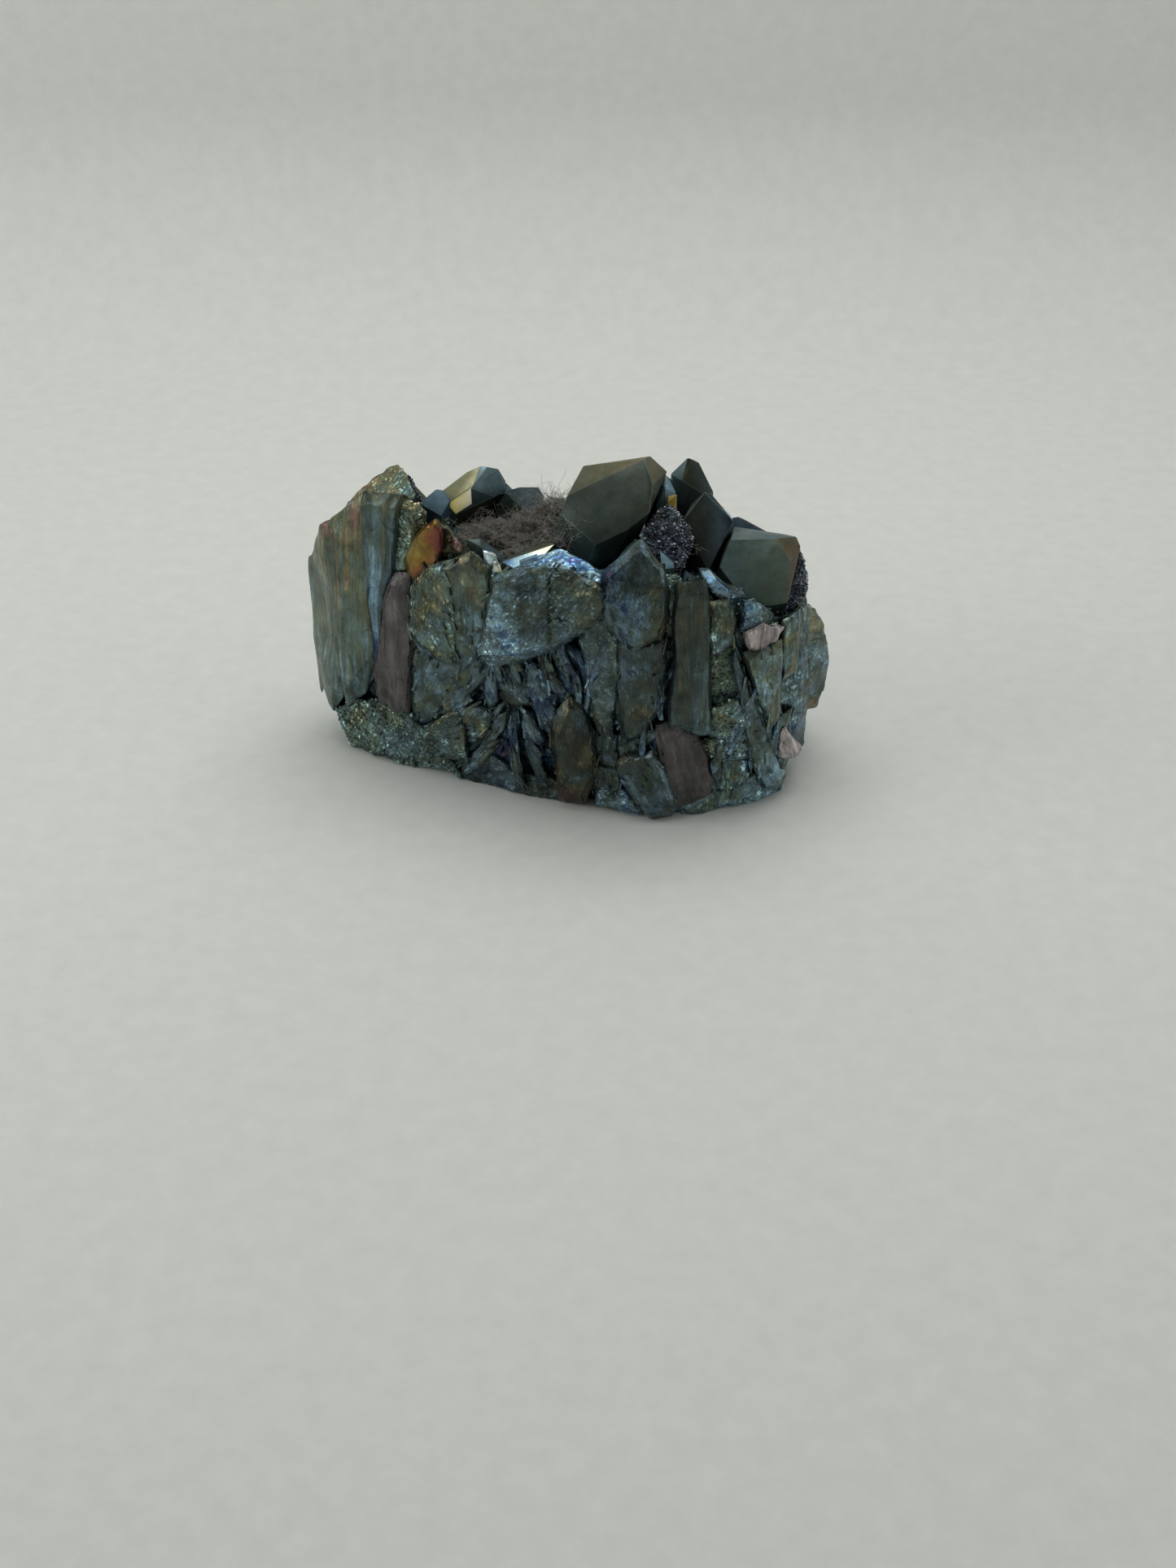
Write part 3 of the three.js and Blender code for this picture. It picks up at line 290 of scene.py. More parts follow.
    Shard(0.4, 0.5, Coat(GRANULAR, 0.62, 0.68, 1.8), ((30, 5.4), (34, 5.6), (37, 5), (37.4, 0.2), (30, 0))),
    Shard(0.3, 0.6, Coat(GRANULAR, 0.66, 0.7, 1.3), ((17.6, 2.8), (22, 3.6), (26.6, 3.8), (26.4, 0),
        (17.4, 0))),
    Shard(0.2, 0.6, Coat(GRANULAR, 0.6, 0.66, 0.3), ((-20, 4.5), (-14, 6), (-9, 3.5), (-9, 0), (-20.5, 0))),
    Shard(0.3, 0.6, Coat(GRANULAR, 0.7, 0.76, 0.5), ((-9.4, 3.5), (-4, 4.5), (-0.6, 3), (2, 0), (-9.4, 0))),
)

POINTS: tuple[CrystalPoint, ...] = (
    # Great dark point
    CrystalPoint((0.3, -0.22, 0.92), 16, DARK_MIRROR, (FaceCoat((-0.22, -0.74, 0.64), 0.73, 0.76, 0.36),
        FaceCoat((-0.41, -0.18, 0.9), 0.82, 0.86, 0.8), FaceCoat((0.76, -0.28, 0.58), 0.86, 0.84, 0.85),
        FaceCoat((0.91, -0.37, 0.18), 0.8, 0.78, 0.5), FaceCoat((-0.19, 0.28, 0.94), 0.86, 0.86, 1.0)),
        ((12.6, 3, 57.5), (-0.3, 1.7, 51.4), (-1.4, -0.2, 48.8), (4.5, -4.8, 45.6), (9.8, -4.2, 48.1),
        (13.4, -3.1, 50.7), (13.9, -0.1, 54.3), (2.4, 8, 53.9), (13.6, 5, 57.1), (16.5, 6, 53.8),
        (14.6, 2, 51.4), (3.5, 13, 49.5), (13.5, 13, 50.5))),
    # Broad blunt point at the right
    CrystalPoint((0.12, -0.42, 0.9), 13, DARK_MIRROR, (FaceCoat((0.05, -0.85, 0.52), 0.68, 0.76, 0.95),
        FaceCoat((-0.01, 0.18, 0.98), 0.66, 0.68, 0.9), FaceCoat((0.59, -0.45, 0.67), 0.84, 0.9, 0.66),
        FaceCoat((0.85, -0.48, 0.22), 0.87, 0.92, 0.6)), ((26.9, -4.3, 46.3), (34.7, -3.8, 46.3),
        (37, -5.7, 43), (36.5, -9.3, 37.1), (31, -10, 36.4), (27.6, -8.4, 39.5), (25.1, -6.7, 42.4),
        (38.2, -1, 45.1), (38.9, -2, 43.8), (37.9, -4, 39.9), (28, 3, 45), (37, 4, 43), (26, 0, 43),
        (38.5, 3, 40))),
    # Dark pyramid between them
    CrystalPoint((0.1, -0.12, 0.98), 12, Coat(MIRROR, 0.93, 0.8, 0.35),
        (FaceCoat((-0.1, -0.82, 0.56), 0.85, 0.48, 0.24), FaceCoat((0.82, -0.55, -0.15), 0.5, 0.48, 0.24),
        FaceCoat((0.76, 0.19, 0.62), 1.22, 1.1, 1.2), FaceCoat((-0.79, 0.24, 0.56), 0.64, 0.64, 0.6)),
        ((22.7, 2, 51.9), (19, -0.4, 47.7), (23.3, -5.5, 41.1), (27.5, -1.2, 48.1), (23.9, 1.9, 51.6),
        (19.1, 2, 46.5), (27.3, 3.6, 46.9), (25, 8, 46), (21, 8, 47))),
    # Low point behind the blunt one
    CrystalPoint((0.2, -0.1, 0.97), 10, DARK_MIRROR, (FaceCoat((0.2, -0.72, 0.67), 0.5, 0.6, 0.3),
        FaceCoat((0.47, 0.36, 0.8), 0.85, 0.86, 0.6), FaceCoat((0.39, -0.9, -0.17), 0.5, 0.5, 0.24)),
        ((27.2, 5.4, 45.3), (28.8, 5.9, 45.4), (33.7, 5.1, 43), (34, 4.4, 42.2), (27.5, 2.9, 42.6),
        (26.2, 1.2, 41.1), (30, 10, 43), (34, 10, 40.5))),
    # Point behind the pyramid
    CrystalPoint((0.05, 0.1, 0.99), 14, DARK_MIRROR, (FaceCoat((-0.67, -0.47, 0.58), 0.65, 0.66, 0.95),
        FaceCoat((-0.78, -0.62, 0.1), 0.64, 0.64, 0.6), FaceCoat((0.16, -0.98, 0.09), 0.64, 0.72, 0.26),
        FaceCoat((0.4, -0.8, 0.44), 0.86, 0.6, 0.34), FaceCoat((0.54, -0.84, 0.06), 0.86, 0.57, 0.5)),
        ((20.2, 11, 54), (17.4, 11.2, 50.9), (17.7, 10.4, 50.3), (19.2, 8.6, 50.9), (21, 11, 53.7),
        (22.1, 11.3, 53), (24.7, 9.8, 48.1), (23.5, 9, 47.8), (19, 15, 49), (24, 15, 47))),
    # Low point in the notch beside the great one, and the slip in front of it
    CrystalPoint((0.1, 0, 1), 9, DARK_MIRROR, (FaceCoat((0.64, -0.76, -0.06), 0.62, 0.6, 0.3),
        FaceCoat((-0.41, -0.91, 0.04), 0.62, 0.6, 0.26), FaceCoat((0.57, -0.81, 0.16), 0.6, 0.57, 0.7),
        FaceCoat((0.72, -0.64, 0.25), 0.58, 0.57, 0.8), FaceCoat((-0.67, -0.58, 0.46), 0.62, 0.6, 0.5),
        FaceCoat((-0.15, -0.95, 0.26), 0.6, 0.58, 0.6), FaceCoat((0.62, -0.35, 0.7), 0.57, 0.57, 1.1)),
        ((15.3, 5.2, 52.6), (16.2, 6.2, 53.2), (17.1, 5.6, 52.1), (18, 5, 50.3), (17.8, 4, 48.3),
        (15.8, 2.4, 47.3), (14.6, 3, 48.8), (16.2, 3.6, 51.9), (17.5, 9, 50.8), (15.6, 9, 51.1))),
    CrystalPoint((0, 0.2, 0.98), 5, Coat(MIRROR, 0.1, 0.1, 0.7),
        (FaceCoat((0.16, -0.97, 0.2), 0.12, 0.1, 0.7), FaceCoat((0.58, -0.8, 0.16), 0.1, 0.12, 0.9),
        FaceCoat((0.08, -0.87, 0.49), 0.1, 0.06, 1.1)), ((16.6, 1.6, 51.3), (18.1, 1.9, 51.6),
        (17.7, 1.2, 49.6), (16.5, 1.2, 50.6), (17.5, 3.5, 50.1))),
    # Small blue tip, long lying point and grey point at the left
    CrystalPoint((-0.1, -0.1, 0.98), 10, Coat(MIRROR, 0.5, 0.5, 0.6),
        (FaceCoat((-0.31, -0.72, 0.62), 0.56, 0.59, 1.5), FaceCoat((0.85, 0.13, 0.51), 0.57, 0.6, 0.8)),
        ((-22.8, 10, 48.6), (-25.9, 9.3, 46.2), (-21.9, 6.6, 45.1), (-20.5, 7.8, 47.2), (-21.6, 9.5, 48.6),
        (-24, 13, 45), (-20, 13, 45))),
    # Long lying point: the facets with pale film and shade 4.8 are a painted highlight, a glint of the
    # light.
    CrystalPoint((0.25, -0.1, 0.96), 11, DARK_MIRROR, (FaceCoat((-0.36, -0.34, 0.87), 0.82, 0.85, 1.9),
        FaceCoat((-0.23, -0.37, 0.9), 0.83, 0.86, 1.9), FaceCoat((0.19, -0.92, 0.35), 0.08, 0.02, 4.8),
        FaceCoat((0.22, -0.5, 0.84), 0.86, 0.58, 1.2), FaceCoat((0.59, -0.66, 0.47), 0.64, 0.62, 0.6),
        FaceCoat((0.44, -0.57, 0.7), 0.7, 0.64, 0.8), FaceCoat((0.51, -0.85, 0.14), 0.64, 0.6, 0.34),
        FaceCoat((0.47, -0.87, 0.14), 0.08, 0.0, 4.8), FaceCoat((0.51, -0.85, 0.0), 0.64, 0.6, 0.3),
        FaceCoat((0.54, -0.81, -0.23), 0.8, 0.8, 0.2), FaceCoat((0.82, -0.37, 0.43), 0.6, 0.6, 0.5),
        FaceCoat((-0.77, -0.44, 0.46), 0.6, 0.6, 0.5)), ((-21.9, 11.4, 47.6), (-17.6, 13.2, 50.3),
        (-15.4, 13.8, 51.1), (-14.2, 14, 50.9), (-12.3, 14.6, 50.2), (-11.1, 14.6, 47.9),
        (-11.1, 13.2, 46.7), (-12.9, 11.6, 46.4), (-16.9, 9.6, 49), (-20.3, 8.2, 47.2), (-20.6, 7.9, 46.4),
        (-19.4, 7.6, 45.1), (-16.8, 9.2, 46.2), (-20, 16, 46), (-13, 17, 48))),
    CrystalPoint((0.1, -0.1, 0.98), 10, DARK_MIRROR, (FaceCoat((0.2, -0.72, 0.67), 0.63, 0.64, 0.54),
        FaceCoat((0.73, -0.67, -0.14), 0.64, 0.64, 0.24), FaceCoat((0.99, -0.03, -0.1), 0.64, 0.64, 0.3)),
        ((-8.6, 12.4, 47.8), (-5.4, 13, 47.5), (-4.4, 12.2, 46.2), (-4.6, 10.7, 44.8), (-6.4, 9, 43.5),
        (-9.2, 10.3, 45.7), (-11.2, 11.4, 47.5), (-6, 16, 45), (-10, 16, 45.5))),
    # Bright lying face over the wedge and two slips beside the pointed column
    CrystalPoint((0.05, -0.3, 0.95), 13, DARK_MIRROR, (FaceCoat((-0.19, -0.51, 0.84), 1.04, 1.22, 1.7),
        FaceCoat((-0.3, 0.03, 0.95), 0.8, 0.82, 0.54), FaceCoat((-0.41, 0.32, 0.86), 0.6, 0.8, 0.54)),
        ((-2.3, -2.9, 44.8), (-11.4, -4.1, 42), (-8.9, -5.9, 41.5), (-5.1, -5.3, 42.7), (-3.8, -3.7, 44),
        (-4, -0.5, 44.2), (-9, -1, 42))),
    CrystalPoint((0, 0, 1), 14, DARK_MIRROR, (FaceCoat((0.1, -0.74, 0.66), 0.58, 0.57, 1.3),
        FaceCoat((0.14, -0.99, 0.0), 0.66, 0.66, 0.42), FaceCoat((0.68, 0.26, 0.69), 0.57, 0.57, 1.2)),
        ((15, -7.9, 46.2), (17.3, -9.2, 44.4), (17.5, -9.7, 43.8), (15.3, -10, 43.8), (15, -6, 44),
        (17.5, -6, 43))),
    # Termination of the striated shafts
    CrystalPoint((-0.1, 0.1, 0.99), 14, Coat(CRINKLED, 0.72, 0.84, 0.8),
        (FaceCoat((-0.44, -0.48, 0.76), 0.88, 0.76, 1.7), FaceCoat((-0.47, -0.71, 0.53), 0.84, 0.78, 1.6),
        FaceCoat((-0.51, -0.55, 0.67), 0.86, 0.78, 1.6), FaceCoat((-0.92, -0.19, 0.35), 0.92, 0.86, 0.8),
        FaceCoat((0.63, -0.77, 0.14), 0.6, 0.56, 0.5)), ((-30.4, 7, 54.1), (-32.4, 6.7, 52.7),
        (-35.3, 5.5, 50.2), (-38.2, 4, 47.4), (-38.4, 2.6, 46.1), (-33.8, 1.6, 48.8), (-27.5, -1.5, 50.2),
        (-26, 0.1, 52.2), (-27.4, 3.5, 53.6), (-29.1, 6.2, 54.4), (-28, 10, 50), (-36, 10, 46),
        (-41.5, 8, 41))),
    # Rounded chunk at the right end, in two, and the slip below it
    CrystalPoint((0.4, -0.85, 0.1), 10, Coat(SMOOTH, 0.66, 0.78, 1.0), (), ((39.2, -4.5, 33),
        (41, -2.5, 32.6), (42.3, -1, 31.3), (43.9, 0, 27.6), (44.2, 0, 25.8), (41, -4, 25),
        (39, -6.5, 25.4), (38.6, -6.5, 29.5), (40.6, -5.2, 28.5))),
    CrystalPoint((0.45, -0.85, 0), 10, Coat(SMOOTH, 0.6, 0.74, 1.1), (), ((39, -6, 26.5), (42.5, -2.5, 26),
        (44.3, 0, 26), (44.7, 0, 23), (44.5, 0, 18.6), (43.8, -1, 14.6), (43.2, -1.5, 12), (41, -4, 12.4),
        (38, -7, 14.4), (37, -8, 20.3), (38.3, -7.3, 25), (40.6, -6.3, 20))),
    CrystalPoint((0.45, -0.85, 0), 9, Coat(SMOOTH, 0.54, 0.6, 0.9), (), ((39.6, -5, 13.2), (41.5, -3, 11.6),
        (41.8, -3, 9.6), (41.5, -3, 5.7), (40.2, -4, 4.2), (39, -6, 8), (39, -6, 12))),
)

BACK_POINTS: tuple[QuartzPoint, ...] = (
    QuartzPoint((-34, 13, 30), (-36.5, 16.5, 42.5), 8.5, 0.2),
    QuartzPoint((-27, 15, 28), (-28, 18.5, 45.5), 9.5, 0.6),
    QuartzPoint((-18.5, 18, 28), (-18, 22, 40.5), 6.5, 0.1),
    QuartzPoint((-10.5, 17, 28), (-9.5, 21.5, 42.5), 9, 0.9),
    QuartzPoint((-2, 18, 28), (-0.5, 22, 39), 6, 0.4),
    QuartzPoint((6.5, 16, 28), (9, 21.5, 43.5), 10.5, 0.75),
    QuartzPoint((16.5, 17, 28), (18.5, 21, 41.5), 6.5, 0.3),
    QuartzPoint((24, 13, 28), (26.5, 17, 42), 9, 0),
    QuartzPoint((32.5, 9, 26), (36, 13, 37.5), 7.5, 0.5),
    QuartzPoint((-39, 12, 24), (-42, 14, 37), 6.5, 0.5),
    QuartzPoint((1, 6, 32), (-1.5, 9, 41.5), 6, 0.7),
    QuartzPoint((-24, 4, 32), (-23.5, 3, 44.5), 6, 0.2),
    QuartzPoint((-14, 3, 32), (-15.5, 3.5, 41.5), 6, 0.8),
)

# Small points that close the gaps behind the notch and the long lying point
GAP_POINTS: tuple[QuartzPoint, ...] = (
    QuartzPoint((14.8, 9, 38), (14.6, 9.5, 52.5), 3.4, 0.3),
    QuartzPoint((-10.9, 14, 38), (-11.2, 14.5, 47.6), 3.6, 0.6),
    QuartzPoint((-9, 0.5, 37.5), (-17.2, -1.2, 44.6), 2.6, 0.2),
    QuartzPoint((-19.5, 3, 38), (-21, -1.2, 45.6), 3.4, 0.1),
)

DRUSE: tuple[DruseLump, ...] = (
    # Rim of the blunt point
    DruseLump((0.85, -0.4, 0.3), ((36.5, 4, 42.3), (38.6, 1, 42.3), (39.9, -1.5, 41), (40.4, -3, 38.6),
        (39.8, -5, 35.6), (37.4, -8, 34.4), (35, -9, 34.8), (34, 0, 32), (36, 8, 38), (40, 2, 36))),
    # Pocket between the great point and the pyramid
    DruseLump((0.1, -0.8, 0.6), ((14.4, -1.5, 50), (17, -0.5, 50.6), (19.8, -2, 48.4), (20.4, -5.2, 44.6),
        (17.4, -8.4, 42.2), (13.2, -7.6, 43.4), (13, -4.6, 47.4), (14, 4, 46), (21, 4, 44), (17, -4, 36))),
    # Right flank of the termination over the striated shafts, and the shoulder below it
    DruseLump((0.8, -0.5, 0.35), ((-28.6, 6, 53.8), (-26.4, 3.4, 53), (-25.2, 0.6, 51.4), (-25, -1.4, 49.2),
        (-27.6, -2, 49.4), (-30, 3, 46), (-25.6, 5, 44))),
)


class RepeatableRow:
    """Random numbers in the row that the solids were grown from."""

    def __init__(self, start: int) -> None:
        """Start the row at a state."""
        self.state = start

    def share(self) -> float:
        """Return the next number from 0 to 1."""
        mask = 0xFFFFFFFF
        self.state = (self.state + 0x6D2B79F5) & mask
        mixed = ((self.state ^ (self.state >> 15)) * (self.state | 1)) & mask
        mixed = ((mixed + (((mixed ^ (mixed >> 7)) * (mixed | 61)) & mask)) & mask) ^ mixed
        return ((mixed ^ (mixed >> 14)) & mask) / 4294967296

    def between(self, low: float, high: float) -> float:
        """Return the next number from low to high."""
        return low + (high - low) * self.share()

    def jitter(self, amount: float) -> float:
        """Return the next number from -amount to amount."""
        return (2 * self.share() - 1) * amount


def wall_at(x: float) -> float:
    """Return y of the front wall at x."""
    return float(np.interp(x, *zip(*WALL_PLAN)))


def back_at(x: float) -> float:
    """Return y of the far side at x."""
    return float(np.interp(x, *zip(*BACK_PLAN[::-1])))


def unit(rows: Array, least: float = 1e-9) -> Array:
    """Return rows as directions of length 1."""
    return rows / np.maximum(np.linalg.norm(rows, axis=1), least)[:, None]


@dataclass
class Chunk:
    """A convex lump with its coat, before its surface is worked.

    Attributes:
        corners: Corners in millimetres from the mark.
        coat: Its coat.
        along: Direction in which it grew.
        faces: Coats of single faces, where it has them.
        coarse: Factor on the size of its mesh.
    """

    corners: list[Vector]
    coat: Coat
    along: Vector = field(default_factory=UP.copy)
    faces: tuple[FaceCoat, ...] = ()
    coarse: float = 1.0


@dataclass
class Growth:
    """Lays out every chunk of the cluster in the order in which the solids were grown.

    Attributes:
        seed: Start of the row of random numbers.
        skin: How far the body lies behind its plan.
        root_share: Length of the body's root, as a share of the whole.
        belt_share: Height of its widest part.
        top_rounding: How far its top is rounded.
        wall_lean: Fall of the wall for each step back.
        shard_back: How far a shard reaches back.
        shard_spread: Size of a shard's rim.
        shard_waist: Size of its front.
        roughness: How far corners stray.
        pyramid_slope: Rise of a point's pyramid faces.
        shoulder_line: Highest tops of the far columns near the right end, as x, z.
    """

    seed: int = 7
    skin: float = 1.1
    root_share: tuple[float, float] = (0.91, 0.98)
    belt_share: float = 0.4
    top_rounding: float = 3.0
    wall_lean: float = 0.577
    shard_back: float = 7.0
    shard_spread: float = 1.16
    shard_waist: float = 0.94
    roughness: float = 0.35
    pyramid_slope: float = math.tan(math.radians(51.8))
    shoulder_line: tuple[tuple[float, float], ...] = ((36, 34.5), (42, 26))

    def __post_init__(self) -> None:
        """Start the row of random numbers."""
        self.row = RepeatableRow(self.seed)

    def block(self, left: float, right: float, top: float) -> Chunk:
        """Return one block of the body, by its ends and its height."""
        ring = [(x, y + self.skin) for x, y in WALL_PLAN] + [(x, y - self.skin) for x, y in BACK_PLAN]
        ring = [(x, y) for x, y in ring if left <= x <= right]
        for edge in (left, right):
            ring += [(edge, wall_at(edge) + self.skin), (edge, back_at(edge) - self.skin)]
        low, high = self.root_share
        corners = []
        for x, y in ring:
            corners.append(Vector((x * low, y * high, 0)))
            corners.append(Vector((x, y, top * self.belt_share)))
            corners.append(Vector((x * high, y * low, top - self.top_rounding)))
        return Chunk(corners, Coat(CRINKLED, 0.56, 0.64, 0.7), coarse=1.8)

    def shard(self, shard: Shard) -> Chunk:
        """Return a shard of the wall: rim, waist further out, and back inside the body."""
        middle = np.mean([corner[:2] for corner in shard.outline], axis=0)
        corners = []
        for x, z, *set_back in shard.outline:
            back = set_back[0] if set_back else 0.0
            rim = middle + (np.array((x, z)) - middle) * self.shard_spread
            waist = middle + (np.array((x, z)) - middle) * self.shard_waist
            rough = self.row.jitter(self.roughness)
            depth = max(0.0, back_at(rim[0]) - wall_at(rim[0])) / 2
            corners.append(self.on_wall(rim, back - shard.proud))
            corners.append(self.on_wall(waist, back * self.shard_waist - shard.proud - shard.belly + rough))
            corners.append(self.on_wall(rim, back + min(self.shard_back, depth)))
        outline = np.array([corner[:2] for corner in shard.outline]) - middle
        _, spread, axes = np.linalg.svd(outline)
        x, z = axes[0] * np.sign(axes[0][1] or 1)
        long = spread[0] > 1.5 * spread[1]
        along = Vector((x, 0.0, z)) if long else UP.copy()
        if shard.grain:
            along = Vector(shard.grain).normalized()
        return Chunk(corners, shard.coat, along)

    def slivers(self, count: int, seed: int) -> Iterator[Chunk]:
        """Yield thin blades that fill the gaps between the shards.

        Args:
            count: How many to try. None is laid on bare or satin shards.
            seed: Start of their random numbers.
        """
        rng = np.random.default_rng(seed)
        kept_clear = [np.array([corner[:2] for corner in shard.outline]) for shard in SHARDS
                      if shard.coat.relief in (BARE, SATIN)]
        blade = ((0.5, 0.1), (0.2, 0.5), (-0.3, 0.4), (-0.5, 0.0), (-0.25, -0.5), (0.3, -0.4))
        for _ in range(count):
            middle = np.array((rng.uniform(-24, 36), rng.uniform(3, 32)))
            length, breadth, proud = rng.uniform(4.5, 13), rng.uniform(1.0, 2.4), rng.uniform(0.2, 1.8)
            lean = rng.normal(float(np.interp(middle[0], (-17, -12, -2, 2), (1.1, -0.3, -0.3, 0.06))), 0.1)
            if any((middle > rim.min(axis=0) - 1).all() and (middle < rim.max(axis=0) + 1).all()
                   for rim in kept_clear):
                continue
            way = np.array((lean, 1.0)) / math.hypot(lean, 1)
            side = np.array((way[1], -way[0]))
            outline = [middle + way * length * up + side * breadth * out for up, out in blade]
            coat = Coat(SMOOTH, *rng.uniform((0.45, 0.5, 0.4), (0.68, 0.76, 0.9)))
            yield self.shard(Shard(proud, 0.7, coat, tuple(tuple(place) for place in outline)))

    def on_wall(self, place: Sequence[float], set_back: float) -> Vector:
        """Return the point at x, z on the wall, moved back along the wall's lean."""
        x, z = float(place[0]), float(place[1])
        return Vector((x, wall_at(x) + set_back, z - self.wall_lean * set_back))

    def point(self, point: CrystalPoint) -> Chunk:
        """Return a point from its crown and shaft."""
        lean = Vector(point.lean).normalized()
        crown = [Vector(corner) for corner in point.crown]
        return Chunk(crown + [corner - lean * point.root for corner in crown], point.coat, lean, point.faces)

    def quartz(self, point: QuartzPoint, coat: Coat) -> Chunk:
        """Return a regular point: a six-sided shaft closed by six pyramid faces."""
        foot, tip = Vector(point.foot), Vector(point.tip)
        axis = tip - foot
        apothem = point.breadth / 2
        crown = apothem * self.pyramid_slope
        shoulder = axis.length - crown
        reach = apothem / math.cos(math.pi / 6)
        corners = []
        for i in range(6):
            angle = (i + point.turn) * math.tau / 6
            for height, scale in ((0.0, 0.9), (shoulder - (0.3 * crown if i % 2 else 0.0), 1.0)):
                corners.append(Vector((reach * scale * math.cos(angle), reach * scale * math.sin(angle),
                                       height)))
        corners.append(Vector((apothem * 0.12, 0.0, axis.length)))
        corners.append(Vector((-apothem * 0.1, apothem * 0.1, axis.length * 0.995)))
        upright = UP.rotation_difference(axis)
        return Chunk([upright @ corner + foot for corner in corners], coat, axis.normalized())

    def young(self) -> Iterator[Chunk]:
        """Yield young points in rows over the top."""
        for y, left, right in ((2, -20, 32), (8, -36, 36), (14.5, -38, 34)):
            x = float(left)
            while x <= right:
                top = max(top for start, end, top in BODY_BLOCKS if start <= x <= end) - self.top_rounding
                at_x, at_y = x + self.row.jitter(2), y + self.row.jitter(2)
                lean_x, lean_y = at_x + self.row.jitter(1.5), at_y + self.row.jitter(1.5)
                rise, breadth, turn = self.row.between(0.5, 4), self.row.between(3.6, 5.6), self.row.share()
                grown = QuartzPoint((at_x, at_y, top - 9), (lean_x, lean_y, top + rise), breadth, turn)
                yield self.quartz(grown, Coat(MIRROR, 0.5 + 0.34 * turn, 0.56 + 0.3 * turn, 0.7))
                x += 6.4

    def columns(self, pitch: float, breadth: tuple[float, float], tops: tuple[float, float],
                feet: tuple[float, float], proud: float) -> Iterator[Chunk]:
        """Yield one tier of broken columns, from the right end round the far side.

        Args:
            pitch: Distance between columns.
            breadth: Range of their breadths.
            tops: Range of their tops' heights.
            feet: Range of their feet's heights.
            proud: How far they stand out of the plan.
        """
        path = CatmullRomPath([Vector((x, y, 0)) for x, y in BACK_PLAN])
        count = round(path.length / pitch)
        for i in range(1, count):
            at, along = path.at(i / count)
            out = Vector((along.y, -along.x, 0))
            at = at + out * (proud + self.row.jitter(self.roughness))
            yield self.column(at, along, out, breadth, tops, feet)

    def column(self, at: Vector, along: Vector, out: Vector, breadth: tuple[float, float],
               tops: tuple[float, float], feet: tuple[float, float]) -> Chunk:
        """Return a ragged column at a place on the far side."""
        half = self.row.between(*breadth) / 2
        (x0, z0), (x1, z1) = self.shoulder_line
        top = min(self.row.between(*tops), z0 + (at.x - x0) * (z1 - z0) / (x1 - x0))
        foot = self.row.between(*feet)
        waist = foot + (top - foot) * self.row.between(0.3, 0.75)
        slant = self.row.jitter(2.5)

        def place(side: float, stand: float, height: float, shift: float) -> Vector:
            """Return a corner across, out of and up the column."""
            corner = at + along * (side * half + shift) + out * stand
            return Vector((corner.x, corner.y, height))

        corners = []
        for side, stand in ((-1, -1.2), (-0.5, 0.6), (0.35, 1), (1, -0.8)):
            corners.append(place(side * 0.75, stand - 2.2, foot + self.row.jitter(2), -slant))
            rough = self.row.jitter(self.roughness)
            corners.append(place(side, stand + rough, waist + self.row.jitter(2), 0))
            corners.append(place(side * 0.8, stand - 0.8, top + self.row.jitter(2), slant))
            corners.append(place(side, -self.shard_back, foot + 2, -slant))
            corners.append(place(side * 0.6, -self.shard_back, top + 2, slant))
        kind = (SMOOTH, CRINKLED, STRIATED, SMOOTH)[int(half * 10) % 4]
        low = 0.56 + 0.2 * (foot / 13 % 1)
        coat = Coat(kind, low, low + 0.03 * half, 0.7 + 0.04 * half, 0.03)
        grown = Vector((along.x * slant, along.y * slant, top - foot)).normalized()
        return Chunk(corners, coat, grown, coarse=1.5)


class CatmullRomPath:
    """A centripetal Catmull-Rom curve, measured along its length."""

    def __init__(self, points: Sequence[Vector], steps: int = 200) -> None:
        """Sample the curve.

        Args:
            points: Points that it passes through.
            steps: Samples over its whole length.
        """
        self.points = list(points)
        samples = [self.raw(i / steps) for i in range(steps + 1)]
        lengths = [(b - a).length for a, b in zip(samples, samples[1:])]
        self.reached = np.concatenate(([0.0], np.cumsum(lengths)))
        self.length = float(self.reached[-1])

    def raw(self, t: float) -> Vector:
        """Return the point at share t of the spans."""
        spans = len(self.points) - 1
        index = min(int(t * spans), spans - 1)
        w = t * spans - index
        p1, p2 = self.points[index], self.points[index + 1]
        p0 = self.points[index - 1] if index > 0 else p1 * 2 - p2
        p3 = self.points[index + 2] if index + 2 <= spans else p2 * 2 - p1
        d0, d1, d2 = (max((b - a).length_squared ** 0.25, 1e-4) for a, b in ((p0, p1), (p1, p2), (p2, p3)))
        m1 = ((p1 - p0) / d0 - (p2 - p0) / (d0 + d1) + (p2 - p1) / d1) * d1
        m2 = ((p2 - p1) / d1 - (p3 - p1) / (d1 + d2) + (p3 - p2) / d2) * d1
        return (p1 + m1 * w + (p1 * -3 + p2 * 3 - m1 * 2 - m2) * w * w
                + (p1 * 2 - p2 * 2 + m1 + m2) * w * w * w)

    def at(self, u: float) -> tuple[Vector, Vector]:
        """Return the point at share u of the length, and the direction there."""
        t = float(np.interp(u * self.length, self.reached, np.linspace(0, 1, len(self.reached))))
        step = 1e-4
        direction = self.raw(min(1.0, t + step)) - self.raw(max(0.0, t - step))
        return self.raw(t), direction.normalized()


